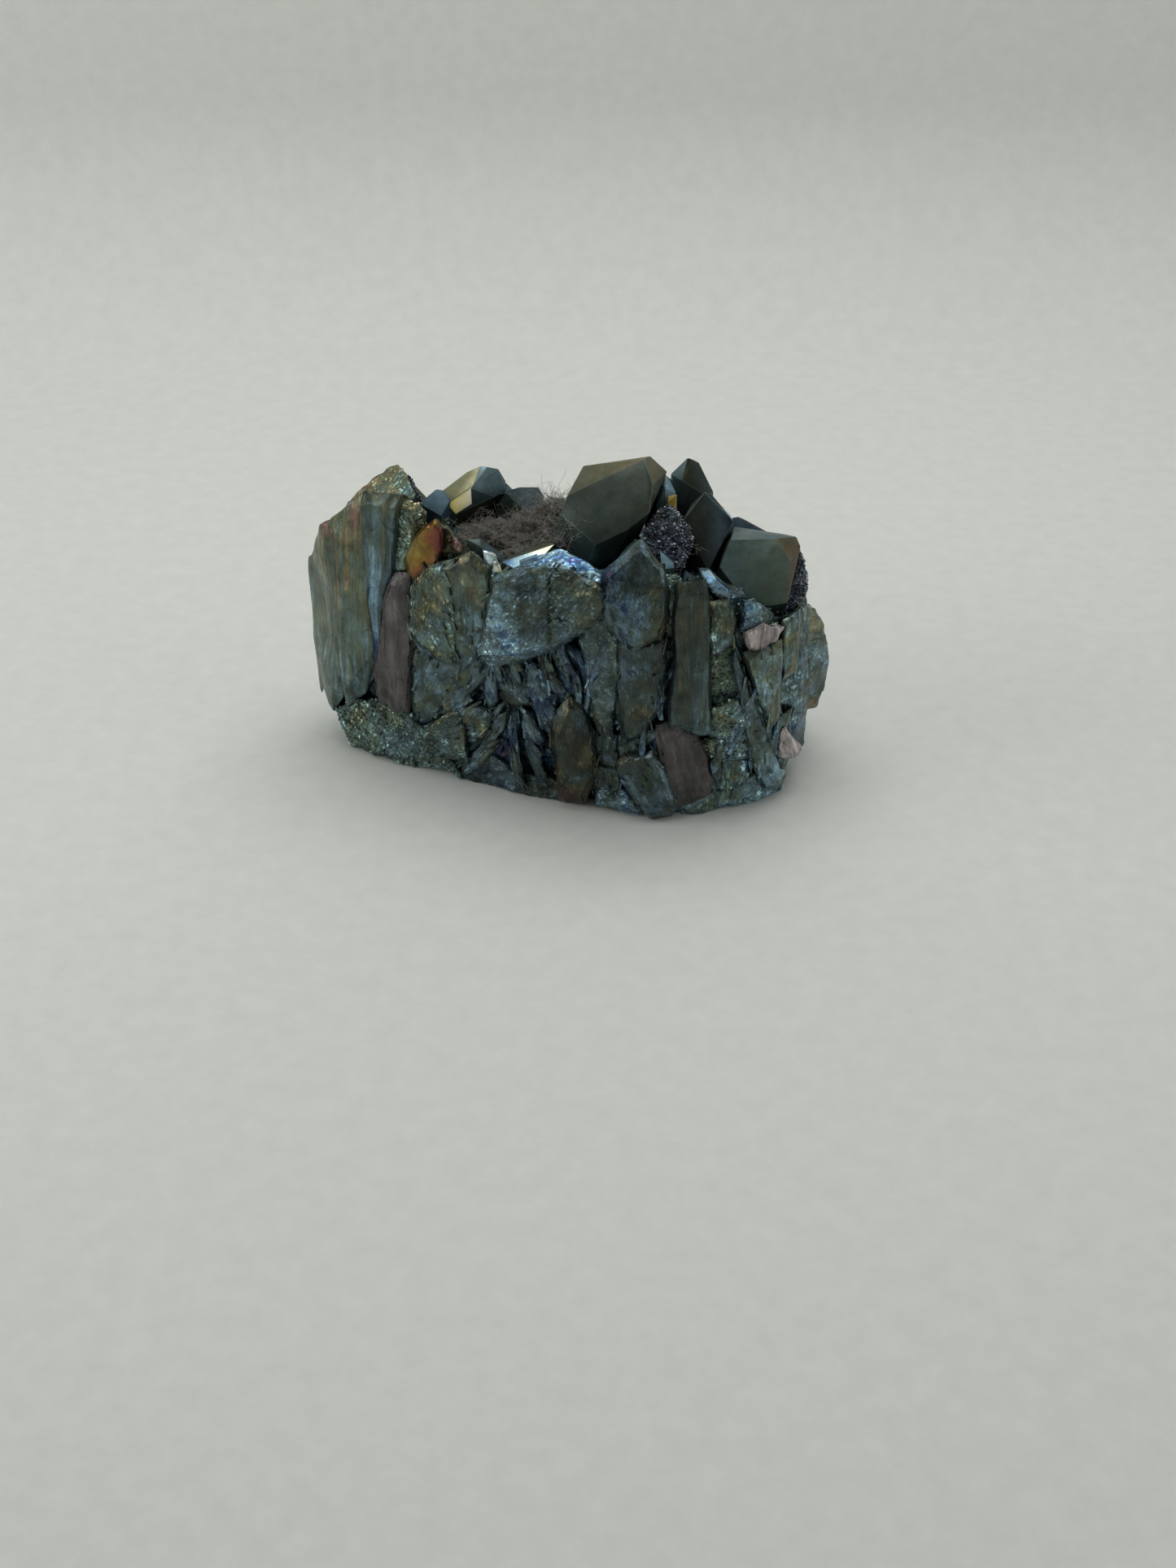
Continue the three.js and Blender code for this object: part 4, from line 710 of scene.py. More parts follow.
def dice(cells: Array, count: int) -> Array:
    """Return numbers from 0 to 1 for whole-numbered cells, always the same ones.

    Args:
        cells: Cells, one in each row.
        count: How many numbers each cell gets.

    Returns:
        One row of numbers for each cell.
    """
    state = (cells * np.array((73856093, 19349663, 83492791))).sum(axis=1).astype(np.uint64)
    drawn = []
    for _ in range(count):
        state = state + np.uint64(0x9E3779B97F4A7C15)
        mixed = (state ^ (state >> np.uint64(30))) * np.uint64(0xBF58476D1CE4E5B9)
        mixed = (mixed ^ (mixed >> np.uint64(27))) * np.uint64(0x94D049BB133111EB)
        drawn.append(((mixed ^ (mixed >> np.uint64(31))) >> np.uint64(40)) / float(1 << 24))
    return np.stack(drawn, axis=1)


def chips(places: Array, size: Triple | float, seed: float = 0.0) -> tuple[Array, Array]:
    """Break a surface into flat chips, each tilted and set its own way.

    Args:
        places: Places, one in each row.
        size: Size of a chip on each axis.
        seed: Shifts the pattern.

    Returns:
        Height, about -1 to 1, and the chip's tone, 0 to 1, at each place.
    """
    at = places / np.array(size) + seed
    base = np.floor(at - 0.5).astype(np.int64)
    nearest, second = np.full((2, len(at)), np.inf)
    height, tone = np.zeros(len(at)), np.zeros(len(at))
    for corner in itertools.product((0, 1), repeat=3):
        drawn = dice(base + corner, 8)
        apart = at - (base + corner + 0.2 + 0.6 * drawn[:, :3])
        far = (apart ** 2).sum(axis=1)
        closer = far < nearest
        tilt = (apart * (drawn[:, 3:6] - 0.5)).sum(axis=1) * 1.8
        rise = drawn[:, 6] - 0.5 + tilt
        second = np.where(closer, nearest, np.minimum(second, far))
        nearest[closer], height[closer], tone[closer] = far[closer], rise[closer], drawn[closer, 7]
    inner = np.clip((np.sqrt(second) - np.sqrt(nearest)) / 0.3, 0, 1)
    return height * inner, 0.5 + (tone - 0.5) * inner


def waves(places: Array, size: Triple | float, seed: float = 0.0) -> Array:
    """Return smooth noise from -1 to 1.

    Args:
        places: Places, one in each row.
        size: Size of a wave on each axis.
        seed: Shifts the pattern.

    Returns:
        The noise at each place.
    """
    at = places / np.array(size) + seed
    base = np.floor(at).astype(np.int64)
    part = at - base
    part = part * part * (3 - 2 * part)
    total = np.zeros(len(at))
    for corner in itertools.product((0, 1), repeat=3):
        weight = np.where(corner, part, 1 - part).prod(axis=1)
        total += weight * dice(base + corner, 1)[:, 0]
    return 2 * total - 1


@dataclass(frozen=True)
class Break:
    """How a relief breaks up, in millimetres.

    Attributes:
        big: Size of the big chips across, out of and along the growth.
        big_height: How high they stand.
        small: Size of the small chips.
        small_height: How high they stand.
        wave: Size of the waves.
        wave_height: Their height.
        span: Longest edge of the mesh across the growth.
        draw: Share of its length that counts for an edge along the growth.
        contrast: How much the chips differ in brightness.
        slip: How far the surface strays sideways.
    """

    big: Triple
    big_height: float
    small: Triple
    small_height: float
    wave: Triple
    wave_height: float
    span: float = 0.42
    draw: float = 1.0
    contrast: float = 0.5
    slip: float = 0.4


BREAKS = {
    SMOOTH: Break(
        (3.4, 3.4, 11.0), 0.18, (1.0, 1.0, 3.6), 0.04, (2.8, 2.8, 8.0), 0.16, 0.42, 0.8, 0.24, 0.15),
    SATIN: Break(
        (9.0, 9.0, 12.0), 0.05, (2.4, 2.4, 6.0), 0.012, (4.0, 4.0, 9.0), 0.12, 0.5, 1.0, 0.06, 0.05),
    STRIATED: Break(
        (2.2, 2.2, 60.0), 0.18, (0.7, 0.7, 24.0), 0.06, (3.0, 3.0, 30.0), 0.14, 0.34, 0.28, 0.15, 0.06),
    CRINKLED: Break(
        (2.2, 2.2, 6.0), 0.25, (0.8, 0.8, 1.9), 0.09, (2.2, 2.2, 4.0), 0.16, 0.4, 0.8, 0.4, 0.2),
    GRANULAR: Break(
        (1.8, 1.8, 1.8), 0.28, (0.7, 0.7, 0.7), 0.16, (3.0, 3.0, 3.0), 0.25, 0.42, 1.0, 0.4, 0.3),
    BARE: Break(
        (2.0, 2.0, 24.0), 0.4, (0.7, 0.7, 9.0), 0.08, (3.0, 3.0, 12.0), 0.14, 0.36, 0.4, 0.35, 0.1),
}


class Crowd:
    """All chunks as sets of planes, to tell what lies buried inside the others."""

    def __init__(self, hulls: Iterable[bmesh.types.BMesh]) -> None:
        """Take the planes of the hulls.

        Args:
            hulls: One convex mesh for each chunk, in millimetres.
        """
        self.planes: list[Array] = []
        self.boxes: list[tuple[Array, Array]] = []
        for hull in hulls:
            planes = {tuple(round(value, 4) for value in (*face.normal, face.normal.dot(face.verts[0].co)))
                      for face in hull.faces if face.normal.length > 0.5}
            corners = np.array([v.co[:] for v in hull.verts])
            self.planes.append(np.array(sorted(planes)))
            self.boxes.append((corners.min(axis=0), corners.max(axis=0)))

    def depth(self, points: Array, own: int) -> Array:
        """Return how deep points lie inside any chunk but their own.

        Args:
            points: Points, one in each row.
            own: Index of the chunk that the points belong to.

        Returns:
            Depth in millimetres, negative outside.
        """
        return self.nearest(points, own)[0]

    def nearest(self, points: Array, own: int) -> tuple[Array, Array]:
        """Return the depth of points in any chunk but their own, and where its nearest face looks."""
        low, high = points.min(axis=0), points.max(axis=0)
        deepest, facing = np.full(len(points), -9.0), np.zeros_like(points)
        for index, (planes, box) in enumerate(zip(self.planes, self.boxes)):
            if index == own or (box[0] > high).any() or (box[1] < low).any():
                continue
            inside = planes[:, 3] - points @ planes[:, :3].T
            nearest = inside.argmin(axis=1)
            inside = inside[np.arange(len(points)), nearest]
            closer = inside > deepest
            deepest[closer], facing[closer] = inside[closer], planes[nearest[closer], :3]
        return deepest, facing


def convex(corners: Iterable[Vector]) -> bmesh.types.BMesh:
    """Return the convex mesh around corners, cut off level at the root.

    Args:
        corners: Points in millimetres.

    Returns:
        A closed mesh of triangles.
    """
    shape = bmesh.new()
    for corner in corners:
        shape.verts.new(corner)
    bmesh.ops.remove_doubles(shape, verts=shape.verts, dist=1e-4)
    made = bmesh.ops.convex_hull(shape, input=shape.verts)
    loose = {g for key in ("geom_interior", "geom_unused") for g in made[key]
             if isinstance(g, bmesh.types.BMVert) and g.is_valid}
    bmesh.ops.delete(shape, geom=list(loose), context="VERTS")
    if min(v.co.z for v in shape.verts) < 0:
        whole = shape.verts[:] + shape.edges[:] + shape.faces[:]
        bmesh.ops.bisect_plane(shape, geom=whole, plane_co=(0, 0, 0), plane_no=(0, 0, 1), clear_inner=True)
        bmesh.ops.holes_fill(shape, edges=[e for e in shape.edges if e.is_boundary])
    bmesh.ops.triangulate(shape, faces=shape.faces[:])
    bmesh.ops.recalc_face_normals(shape, faces=shape.faces[:])
    shape.normal_update()
    return shape


def divided(points: Array, faces: Array, middles: Array) -> Array:
    """Split triangles at the middles of their sides.

    Args:
        points: Points.
        faces: Triangles.
        middles: Point at the middle of each side, or -1 where the side stays whole.

    Returns:
        The new triangles.
    """
    split = middles >= 0
    count = split.sum(axis=1)
    first = np.where(count == 2, (split.argmin(axis=1) + 1) % 3, split.argmax(axis=1))
    turn = (first[:, None] + np.arange(3)) % 3
    a, b, c = np.take_along_axis(faces, turn, axis=1).T
    p, q, r = np.take_along_axis(middles, turn, axis=1).T
    short = np.linalg.norm(points[a] - points[q], axis=1) <= np.linalg.norm(points[p] - points[c], axis=1)
    rows = (
        (count == 0, ((a, b, c),)),
        (count == 1, ((a, p, c), (p, b, c))),
        (count == 2, ((p, b, q),)),
        ((count == 2) & short, ((a, p, q), (a, q, c))),
        ((count == 2) & ~short, ((a, p, c), (p, q, c))),
        (count == 3, ((a, p, r), (p, b, q), (r, q, c), (p, q, r))),
    )
    return np.vstack([np.stack(triangle, axis=1)[which]
                      for which, triangles in rows for triangle in triangles])


def crossed(points: Array, faces: Array) -> Array:
    """Return each triangle's normal, as long as twice its area."""
    corners = points[faces]
    return np.cross(corners[:, 1] - corners[:, 0], corners[:, 2] - corners[:, 0])


@dataclass
class Worked:
    """A chunk's finished surface.

    Attributes:
        points: Vertices in millimetres.
        faces: Triangles.
        film: Film order at each corner of each triangle.
        shade: Brightness at each corner.
        grown: Place across, out of and along the growth at each vertex.
        index: Its place in the crowd.
        relief: How its surface broke.
        along: Direction of the growth.
        laid: Film order and brightness at each vertex, before the relief changes them.
        deep: How deep each vertex lies in other chunks, in millimetres.
    """

    points: Array
    faces: Array
    film: Array
    shade: Array
    grown: Array
    index: int
    relief: Relief
    along: Vector
    laid: Array
    deep: Array


class Surface:
    """Works a convex chunk into its final surface.

    Attributes:
        bevel: Breadth of a crystal's eased edges.
        chip: Depth of the chips along broken edges.
        hollow_shade: How much darker a millimetre of depth is, as painted shade in the hollows.
        seam_shade: Brightness of the painted shade at the seams.
        seam_width: Reach of the painted shade at the seams.
        bend: How far the whole surface strays sideways.
        plane_tone: How much triangles of one direction differ in brightness.
        plane_film: How much they differ in film.
        buried: Depth in other chunks, and share of an edge's length, below which edges stay whole.
        same_side: Least cosine between a face and the direction of its own coat.
        wander: How far the film strays, over places and with the tone.
        blunt: Loss of a normal's length at which a corner counts as an edge.
    """

    bevel = 0.08
    chip = 0.4
    hollow_shade = 1.6
    seam_shade = 0.5
    seam_width = 0.4
    bend = 0.7
    plane_tone = 0.28
    plane_film = 0.05
    buried = 0.45
    same_side = 0.93
    wander = 0.07
    blunt = 0.12

    def __init__(self, chunk: Chunk, hull: bmesh.types.BMesh, index: int, crowd: Crowd) -> None:
        """Hold the chunk.

        Args:
            chunk: The chunk.
            hull: Its convex mesh.
            index: Its place in the crowd.
            crowd: All chunks.
        """
        self.chunk, self.hull, self.index, self.crowd = chunk, hull, index, crowd
        self.flat = chunk.coat.relief is MIRROR
        self.seed = index * 7.31 % 97
        self.deep = np.zeros(0)
        self.laid = np.zeros((0, 2))

    def worked(self) -> Worked:
        """Refine, displace and coat the chunk."""
        relief = self.chunk.coat.relief
        painted_edge_highlight = self.eased() if self.flat else []
        self.hull.verts.index_update()
        points = np.array([v.co[:] for v in self.hull.verts])
        faces = np.array([[v.index for v in f.verts] for f in self.hull.faces])
        if not self.flat:
            points, faces = self.refined(points, faces, BREAKS[relief])
        normals = unit(crossed(points, faces), 1e-12)
        grown = self.growth_frame(points)
        tone = np.full(len(points), 0.5)
        if not self.flat:
            points, tone = self.broken(points, faces, normals, grown, BREAKS[relief])
        film, shade = self.coated(points, faces, normals, grown, tone, painted_edge_highlight)
        return Worked(points, faces, film, shade, grown, self.index, relief, self.chunk.along, self.laid,
                      self.deep)

    def eased(self) -> list[int]:
        """Ease the sharp edges of a crystal and return the indices of the new faces, which coated() paints
        brighter as a highlight.
        """
        bmesh.ops.dissolve_limit(self.hull, angle_limit=math.radians(1.0), verts=self.hull.verts[:],
                                 edges=self.hull.edges[:])
        edges = [edge for edge in self.hull.edges
                 if len(edge.link_faces) == 2 and edge.calc_face_angle(0) > math.radians(12)]
        made = bmesh.ops.bevel(self.hull, geom=edges, offset=self.bevel, offset_type="OFFSET", segments=1,
                               profile=0.5, affect="EDGES", clamp_overlap=True)
        for face in made["faces"]:
            face.material_index = 1
        bmesh.ops.remove_doubles(self.hull, verts=self.hull.verts[:], dist=1e-4)
        bmesh.ops.triangulate(self.hull, faces=self.hull.faces[:])
        bmesh.ops.recalc_face_normals(self.hull, faces=self.hull.faces[:])
        self.hull.faces.index_update()
        return [face.index for face in self.hull.faces if face.material_index == 1]

    def refined(self, points: Array, faces: Array, relief: Break) -> tuple[Array, Array]:
        """Return the points and triangles, split where long edges are open to view."""
        along = np.array(self.chunk.along)
        limit = relief.span * self.chunk.coarse * 1.35
        for _ in range(11):
            sides = np.sort(faces[:, [[0, 1], [1, 2], [2, 0]]], axis=2)
            edges, of_face = np.unique(sides.reshape(-1, 2), axis=0, return_inverse=True)
            runs = points[edges[:, 1]] - points[edges[:, 0]]
            lengths = np.linalg.norm(runs - np.outer(runs @ along, along) * (1 - relief.draw), axis=1)
            split = np.flatnonzero(lengths > limit)
            if not len(split):
                break
            middles = points[edges[split]].mean(axis=1)
            reach = self.buried * (1 + np.linalg.norm(runs[split], axis=1))
            shown = self.crowd.depth(middles, self.index) < reach
            if not shown.any():
                break
            new = np.full(len(edges), -1)
            new[split[shown]] = len(points) + np.arange(shown.sum())
            points = np.vstack([points, middles[shown]])
            faces = divided(points, faces, new[of_face.reshape(-1, 3)])
        return points, faces

    def growth_frame(self, points: Array) -> Array:
        """Return places across, out of and along the growth, from the chunk's middle."""
        along = self.chunk.along
        out = Vector((0, -1, 0)) - along * (-along.y)
        out.normalize()
        across = along.cross(out)
        frame_axes = np.array([across[:], out[:], along[:]])
        return (points - points.mean(axis=0)) @ frame_axes.T

    def broken(self, points: Array, faces: Array, normals: Array, grown: Array,
               relief: Break) -> tuple[Array, Array]:
        """Move the points to the relief's chips, waves and chipped edges.

        Args:
            points: Points in millimetres.
            faces: Triangles.
            normals: Their normals.
            grown: Place of each point across, out of and along the growth.
            relief: How the surface breaks up.

        Returns:
            The moved points, and their tone, 0.5 on average, with painted shade in hollows and at seams.
        """
        areas = np.linalg.norm(crossed(points, faces), axis=1)
        outward, around = np.zeros_like(points), np.zeros((len(points), 1))
        for k in range(3):
            np.add.at(outward, faces[:, k], normals * areas[:, None])
            np.add.at(around, faces[:, k], areas[:, None])
        outward /= np.maximum(around, 1e-9)
        agreed = np.linalg.norm(outward, axis=1)
        edge = np.clip((1 - agreed) / self.blunt, 0, 1)
        outward /= np.maximum(agreed, 1e-6)[:, None]
        bent = grown + np.stack([waves(grown, relief.wave, self.seed + k) for k in range(3)], axis=1) * 0.5
        big, big_tone = chips(bent, relief.big, self.seed)
        small, small_tone = chips(bent, relief.small, self.seed + 3)
        rise = (relief.big_height * big + relief.small_height * small
                + relief.wave_height * waves(grown, relief.wave, self.seed + 5))
        rise -= self.chip * edge * np.maximum(0.0, waves(points, 1.8, self.seed) + 0.35)
        slid = np.stack([self.bend * waves(points, (5.5, 5.5, 8.0), 31 + k)
                         + relief.slip * (waves(points, 2.6, 11 + k) + 0.4 * waves(points, 0.9, 17 + k))
                         for k in range(3)], axis=1)
        moved = points + outward * rise[:, None] + slid
        moved[:, 2] = np.maximum(moved[:, 2], 0.0)
        # Painted shade: the tone is darker where the relief sinks, in the hollows.
        lying = np.clip(1 + self.hollow_shade * rise, 0.3, 1.7)
        self.deep, facing = self.crowd.nearest(points, self.index)
        # Painted shade at the seams, where another chunk lies close and looks another way.
        seam = np.clip(-self.deep / self.seam_width, self.seam_shade, 1.0)
        seam = np.where((facing * outward).sum(axis=1) > 0.75, 1.0, seam)
        tone = 0.5 + relief.contrast * (1.2 * (big_tone - 0.5) + 0.8 * (small_tone - 0.5))
        return moved, tone * lying * seam

    def coated(self, points: Array, faces: Array, normals: Array, grown: Array,
               tone: Array, painted_edge_highlight: list[int]) -> tuple[Array, Array]:
        """Return film order and brightness at each corner of each triangle."""
        coat = self.chunk.coat
        run = grown[:, 0] if coat.across else grown[:, 2]
        low, high = np.percentile(run, 6), np.percentile(run, 94)
        share = np.clip((run - low) / max(high - low, 1e-6), 0, 1)
        film = coat.low + (coat.high - coat.low) * share
        self.laid = np.stack([film, np.full(len(film), coat.shade)], axis=1)
        film = film + self.wander * waves(points, 3.5, self.seed)
        if not self.flat:
            film += self.wander * (tone - 0.5)
        if coat.streak:
            film += coat.streak * (waves(grown, (1.8, 1.8, 30.0), self.seed)
                                   + 0.4 * waves(grown, (0.5, 0.5, 16.0), self.seed + 1))
        shade = coat.shade * (0.25 + 1.5 * tone) * (1 + 0.3 * waves(points, 2.2, self.seed + 4))
        corner_film, corner_shade = film[faces], shade[faces]
        if not self.flat:
            plane = dice(np.round(normals * 12).astype(np.int64), 2) - 0.5
            corner_film += (2 * self.plane_film * plane[:, 0])[:, None]
            corner_shade *= (1 + 2 * self.plane_tone * plane[:, 1])[:, None]
        if self.chunk.faces:
            near = normals @ unit(np.array([face.facing for face in self.chunk.faces])).T
            best = near.argmax(axis=1)
            for k, face in enumerate(self.chunk.faces):
                mine = (best == k) & (near.max(axis=1) > self.same_side)
                if not mine.any():
                    continue
                x = points[faces[mine], 0]
                across = (x - x.min()) / max(np.ptp(x), 1e-6)
                corner_film[mine] = face.left + (face.right - face.left) * across
                corner_shade[mine] = face.shade
        # Painted highlight: the eased edges of a crystal are painted brighter.
        if painted_edge_highlight:
            corner_shade[painted_edge_highlight] = np.maximum(corner_shade[painted_edge_highlight], 0.6) * 1.25
        return np.clip(corner_film, 0, FILM_SPAN), np.clip(corner_shade, 0, 3)


class SharedCoat:
    """Lets the coats of neighbouring chunks run into one another, as one deposit does.

    Attributes:
        cell: Size of a cell in which coats are gathered.
        reach: How far a coat runs.
        lean: Rise of the line of sight to the wall for each step back.
        least: Share of the neighbours' coats deep inside a chunk.
        most: Their share at a seam.
        fade: How fast the share falls with distance from a seam.
    """

    cell = 0.5
    reach = 1.6
    lean = 0.577
    least, most = 0.1, 0.55
    fade = 3.0

    def __init__(self, parts: Iterable[Worked]) -> None:
        """Hold the coated chunks.

        Args:
            parts: Worked chunks that lie side by side.
        """
        self.parts = [part for part in parts if part.relief not in (SATIN, BARE)]

    def cells(self, part: Worked) -> Array:
        """Return the cell of each vertex in a plane across the line of sight to the wall."""
        x, y, z = part.points.T
        return np.round(np.stack([x, z + self.lean * y], axis=1) / self.cell).astype(int)

    def blurred(self, sums: Array) -> Array:
        """Return sums over the cells with a soft reach."""
        across, up = (np.fft.fftfreq(size) for size in sums.shape)
        soft = np.exp(-2 * (math.pi * self.reach / self.cell) ** 2 * (across[:, None] ** 2 + up[None] ** 2))
        return np.fft.ifft2(np.fft.fft2(sums) * soft).real

    def run(self) -> None:
        """Blend what was laid down over the seams."""
        places = [self.cells(part) for part in self.parts]
        low = np.min([place.min(axis=0) for place in places], axis=0) - 9
        size = np.max([place.max(axis=0) for place in places], axis=0) - low + 10
        sums = np.zeros((3, *size))
        for part, place in zip(self.parts, places):
            shown = part.deep < 0.2
            at = tuple((place - low)[shown].T)
            for total, value in zip(sums, (part.laid[shown, 0], np.log(part.laid[shown, 1]), 1.0)):
                np.add.at(total, at, value)
        film, shade, weight = (self.blurred(total) for total in sums)
        for part, place in zip(self.parts, places):
            at = tuple((place - low).T)
            known = weight[at] > 1e-3
            near = np.clip(self.most + part.deep / self.fade, self.least, self.most) * known
            count = np.where(known, weight[at], 1.0)
            part.film += (near * (film[at] / count - part.laid[:, 0]))[part.faces]
            part.shade *= np.exp(near * (shade[at] / count - np.log(part.laid[:, 1])))[part.faces]


def placed(name: str, data: bpy.types.ID) -> bpy.types.Object:
    """Return a new object in the scene that shows a mesh, a light or a camera."""
    made = bpy.data.objects.new(name, data)
    bpy.context.scene.collection.objects.link(made)
    return made


@dataclass
class Patchwork:
    """Joins worked chunks into one object with its coats as attributes.

    Attributes:
        name: Name of the piece.
        finishes: Material for each relief.
        parts: Its chunks.
    """

    name: str
    finishes: dict[Relief, bpy.types.Material]
    parts: list[Worked] = field(default_factory=list)

    def object(self) -> bpy.types.Object:
        """Make the joined object, in metres at the origin."""
        starts = np.cumsum([0] + [len(part.points) for part in self.parts])
        points = (np.vstack([part.points for part in self.parts]) + MARK) * MM
        faces = np.vstack([part.faces + start for part, start in zip(self.parts, starts)])
        mesh = bpy.data.meshes.new(self.name)
        mesh.from_pydata(points.tolist(), [], faces.tolist())
        kinds = [part.relief for part in self.parts for _ in part.faces]
        order = [kind for kind in Relief if kind in set(kinds)]
        for kind in order:
            mesh.materials.append(self.finishes[kind])
        mesh.polygons.foreach_set("material_index", [order.index(kind) for kind in kinds])
        mesh.polygons.foreach_set("use_smooth", [kind not in (CRINKLED, GRANULAR) for kind in kinds])
        for name in ("film", "shade"):
            layer = mesh.attributes.new(name, "FLOAT", "CORNER")
            rows = np.vstack([getattr(part, name) for part in self.parts])
            layer.data.foreach_set("value", rows.astype(np.float32).ravel())
        layer = mesh.attributes.new("growth", "FLOAT_VECTOR", "POINT")
        grown = np.vstack([part.grown for part in self.parts]) * MM
        layer.data.foreach_set("vector", grown.astype(np.float32).ravel())
        mesh.set_sharp_from_angle(angle=math.radians(28))
        mesh.update()
        return placed(self.name, mesh)


def linear(colour: str) -> tuple[float, float, float, float]:
    """Return an sRGB hex colour as linear RGBA."""
    parts = [int(colour[i:i + 2], 16) / 255 for i in (1, 3, 5)]
    r, g, b = (c / 12.92 if c <= 0.04045 else ((c + 0.055) / 1.055) ** 2.4 for c in parts)
    return r, g, b, 1.0


def add(tree: Tree, kind: str, settings: dict[str, Any] | None = None,
        links: dict[str | int, Any] | None = None) -> bpy.types.Node:
    """Add a node.

    Args:
        tree: Tree that gets the node.
        kind: Its type.
        settings: Properties to set on it.
        links: For each input, a value, or a node and the name of its output.

    Returns:
        The node.
    """
    made = tree.nodes.new(kind)
    for name, value in (settings or {}).items():
        setattr(made, name, value)
    for socket, value in (links or {}).items():
        if isinstance(value, tuple) and value and isinstance(value[0], bpy.types.Node):
            tree.links.new(value[0].outputs[value[1]], made.inputs[socket])
        else:
            made.inputs[socket].default_value = value
    return made


def maths(tree: Tree, operation: str, *values: Any) -> Output:
    """Add arithmetic on values or outputs."""
    return add(tree, "ShaderNodeMath", {"operation": operation}, dict(enumerate(values))), "Value"


def vector_maths(tree: Tree, operation: str, *values: Any) -> Output:
    """Add arithmetic on vectors. SCALE takes its factor as the second value."""
    sockets = (0, "Scale") if operation == "SCALE" else (0, 1)
    links = dict(zip(sockets, values))
    return add(tree, "ShaderNodeVectorMath", {"operation": operation}, links), "Vector"


def attribute(tree: Tree, name: str, output: str = "Fac") -> Output:
    """Add the value of an attribute to a material."""
    return add(tree, "ShaderNodeAttribute", {"attribute_name": name}), output


def noise_of(tree: Tree, place: Output, grain_mm: float, detail: float = 3.0) -> Output:
    """Add a noise with grains of a real size."""
    return add(tree, "ShaderNodeTexNoise", links={
        "Vector": place, "Scale": 1 / (grain_mm * MM), "Detail": detail, "Roughness": 0.6}), "Fac"


def mapped(tree: Tree, source: Output, low: Any, high: Any, start: float = 0.3,
           end: float = 0.7) -> Output:
    """Add a map to a range from low to high, by default from the usual spread of a noise."""
    return add(tree, "ShaderNodeMapRange", links={
        "Value": source, "From Min": start, "From Max": end, "To Min": low, "To Max": high}), "Result"


def ramp(tree: Tree, stops: Sequence[tuple[float, str]], source: Output) -> Output:
    """Add a colour ramp with sRGB stops. Stops beyond 1 are film orders, up to FILM_SPAN."""
    made = add(tree, "ShaderNodeValToRGB", links={"Fac": source})
    elements = made.color_ramp.elements
    while len(elements) < len(stops):
        elements.new(1.0)
    span = FILM_SPAN if stops[-1][0] > 1 else 1
    for element, stop in zip(elements, stops):
        element.position = stop[0] / span
    for element, stop in zip(elements, stops):
        element.color = linear(stop[1])
    return made, "Color"


def bumped(tree: Tree, height: Output, depth_mm: float, under: Output | None = None) -> Output:
    """Add a bump of a real depth over the normal under it."""
    links = {"Height": height, "Distance": depth_mm * MM}
    if under:
        links["Normal"] = under
    return add(tree, "ShaderNodeBump", links=links), "Normal"


def material_of(name: str) -> tuple[bpy.types.Material, Tree, Output]:
    """Return a new material, its empty tree and the Object coordinates in it."""
    made = bpy.data.materials.new(name)
    made.use_nodes = True
    made.node_tree.nodes.clear()
    return made, made.node_tree, (add(made.node_tree, "ShaderNodeTexCoord"), "Object")


def shaded(tree: Tree, links: dict[str, Any]) -> None:
    """Close a material with its shader."""
    shader = add(tree, "ShaderNodeBsdfPrincipled", links=links)
    add(tree, "ShaderNodeOutputMaterial", links={"Surface": (shader, "BSDF")})


# Interference colours of the coat as it thickens, seen on a mirror ground. The last
# four are a second run from blue to straw, for faces that go straight from one to the other.
COAT_COLOURS = (
    (0.00, "#efe6b4"), (0.08, "#cdb25c"), (0.16, "#a3802f"), (0.23, "#965240"), (0.30, "#7d4250"),
    (0.36, "#5f4568"), (0.42, "#333f66"), (0.50, "#3f6485"), (0.57, "#7c9aa9"), (0.64, "#647b80"),
    (0.72, "#55675f"), (0.80, "#5c624e"), (0.87, "#757052"), (0.93, "#80605a"), (1.00, "#6c5262"),
    (1.04, "#41688f"), (1.10, "#93b2c0"), (1.16, "#dfe3d2"), (1.23, "#efe0a0"),
)
FILM_SPAN = 1.25
QUARTZ_COLOURS = ((0.0, "#3f3a3c"), (0.3, "#4a4345"), (0.55, "#625a5c"), (0.75, "#918688"), (1.0, "#b4aba8"))
# Druse tips from blue-black to near white; the near-white stops are painted glints on single tips.
DRUSE_COLOURS_AND_GLINTS = ((0.0, "#525b6f"), (0.4, "#828c9f"), (0.7, "#b8b6b8"), (1.0, "#f6f6f2"))
DUST = "#6e726a"
# Brightness over the growth lines, from dark cracks to bright crests, drawn from the same noise as their
# bump: painted shade in the grooves, a painted highlight on the crests.
LINE_SHADE_AND_HIGHLIGHT = ((0.31, "#3c3c3c"), (0.4, "#a0a0a0"), (0.5, "#bcbcbc"), (0.6, "#c8c8c8"), (0.7, "#ffffff"))


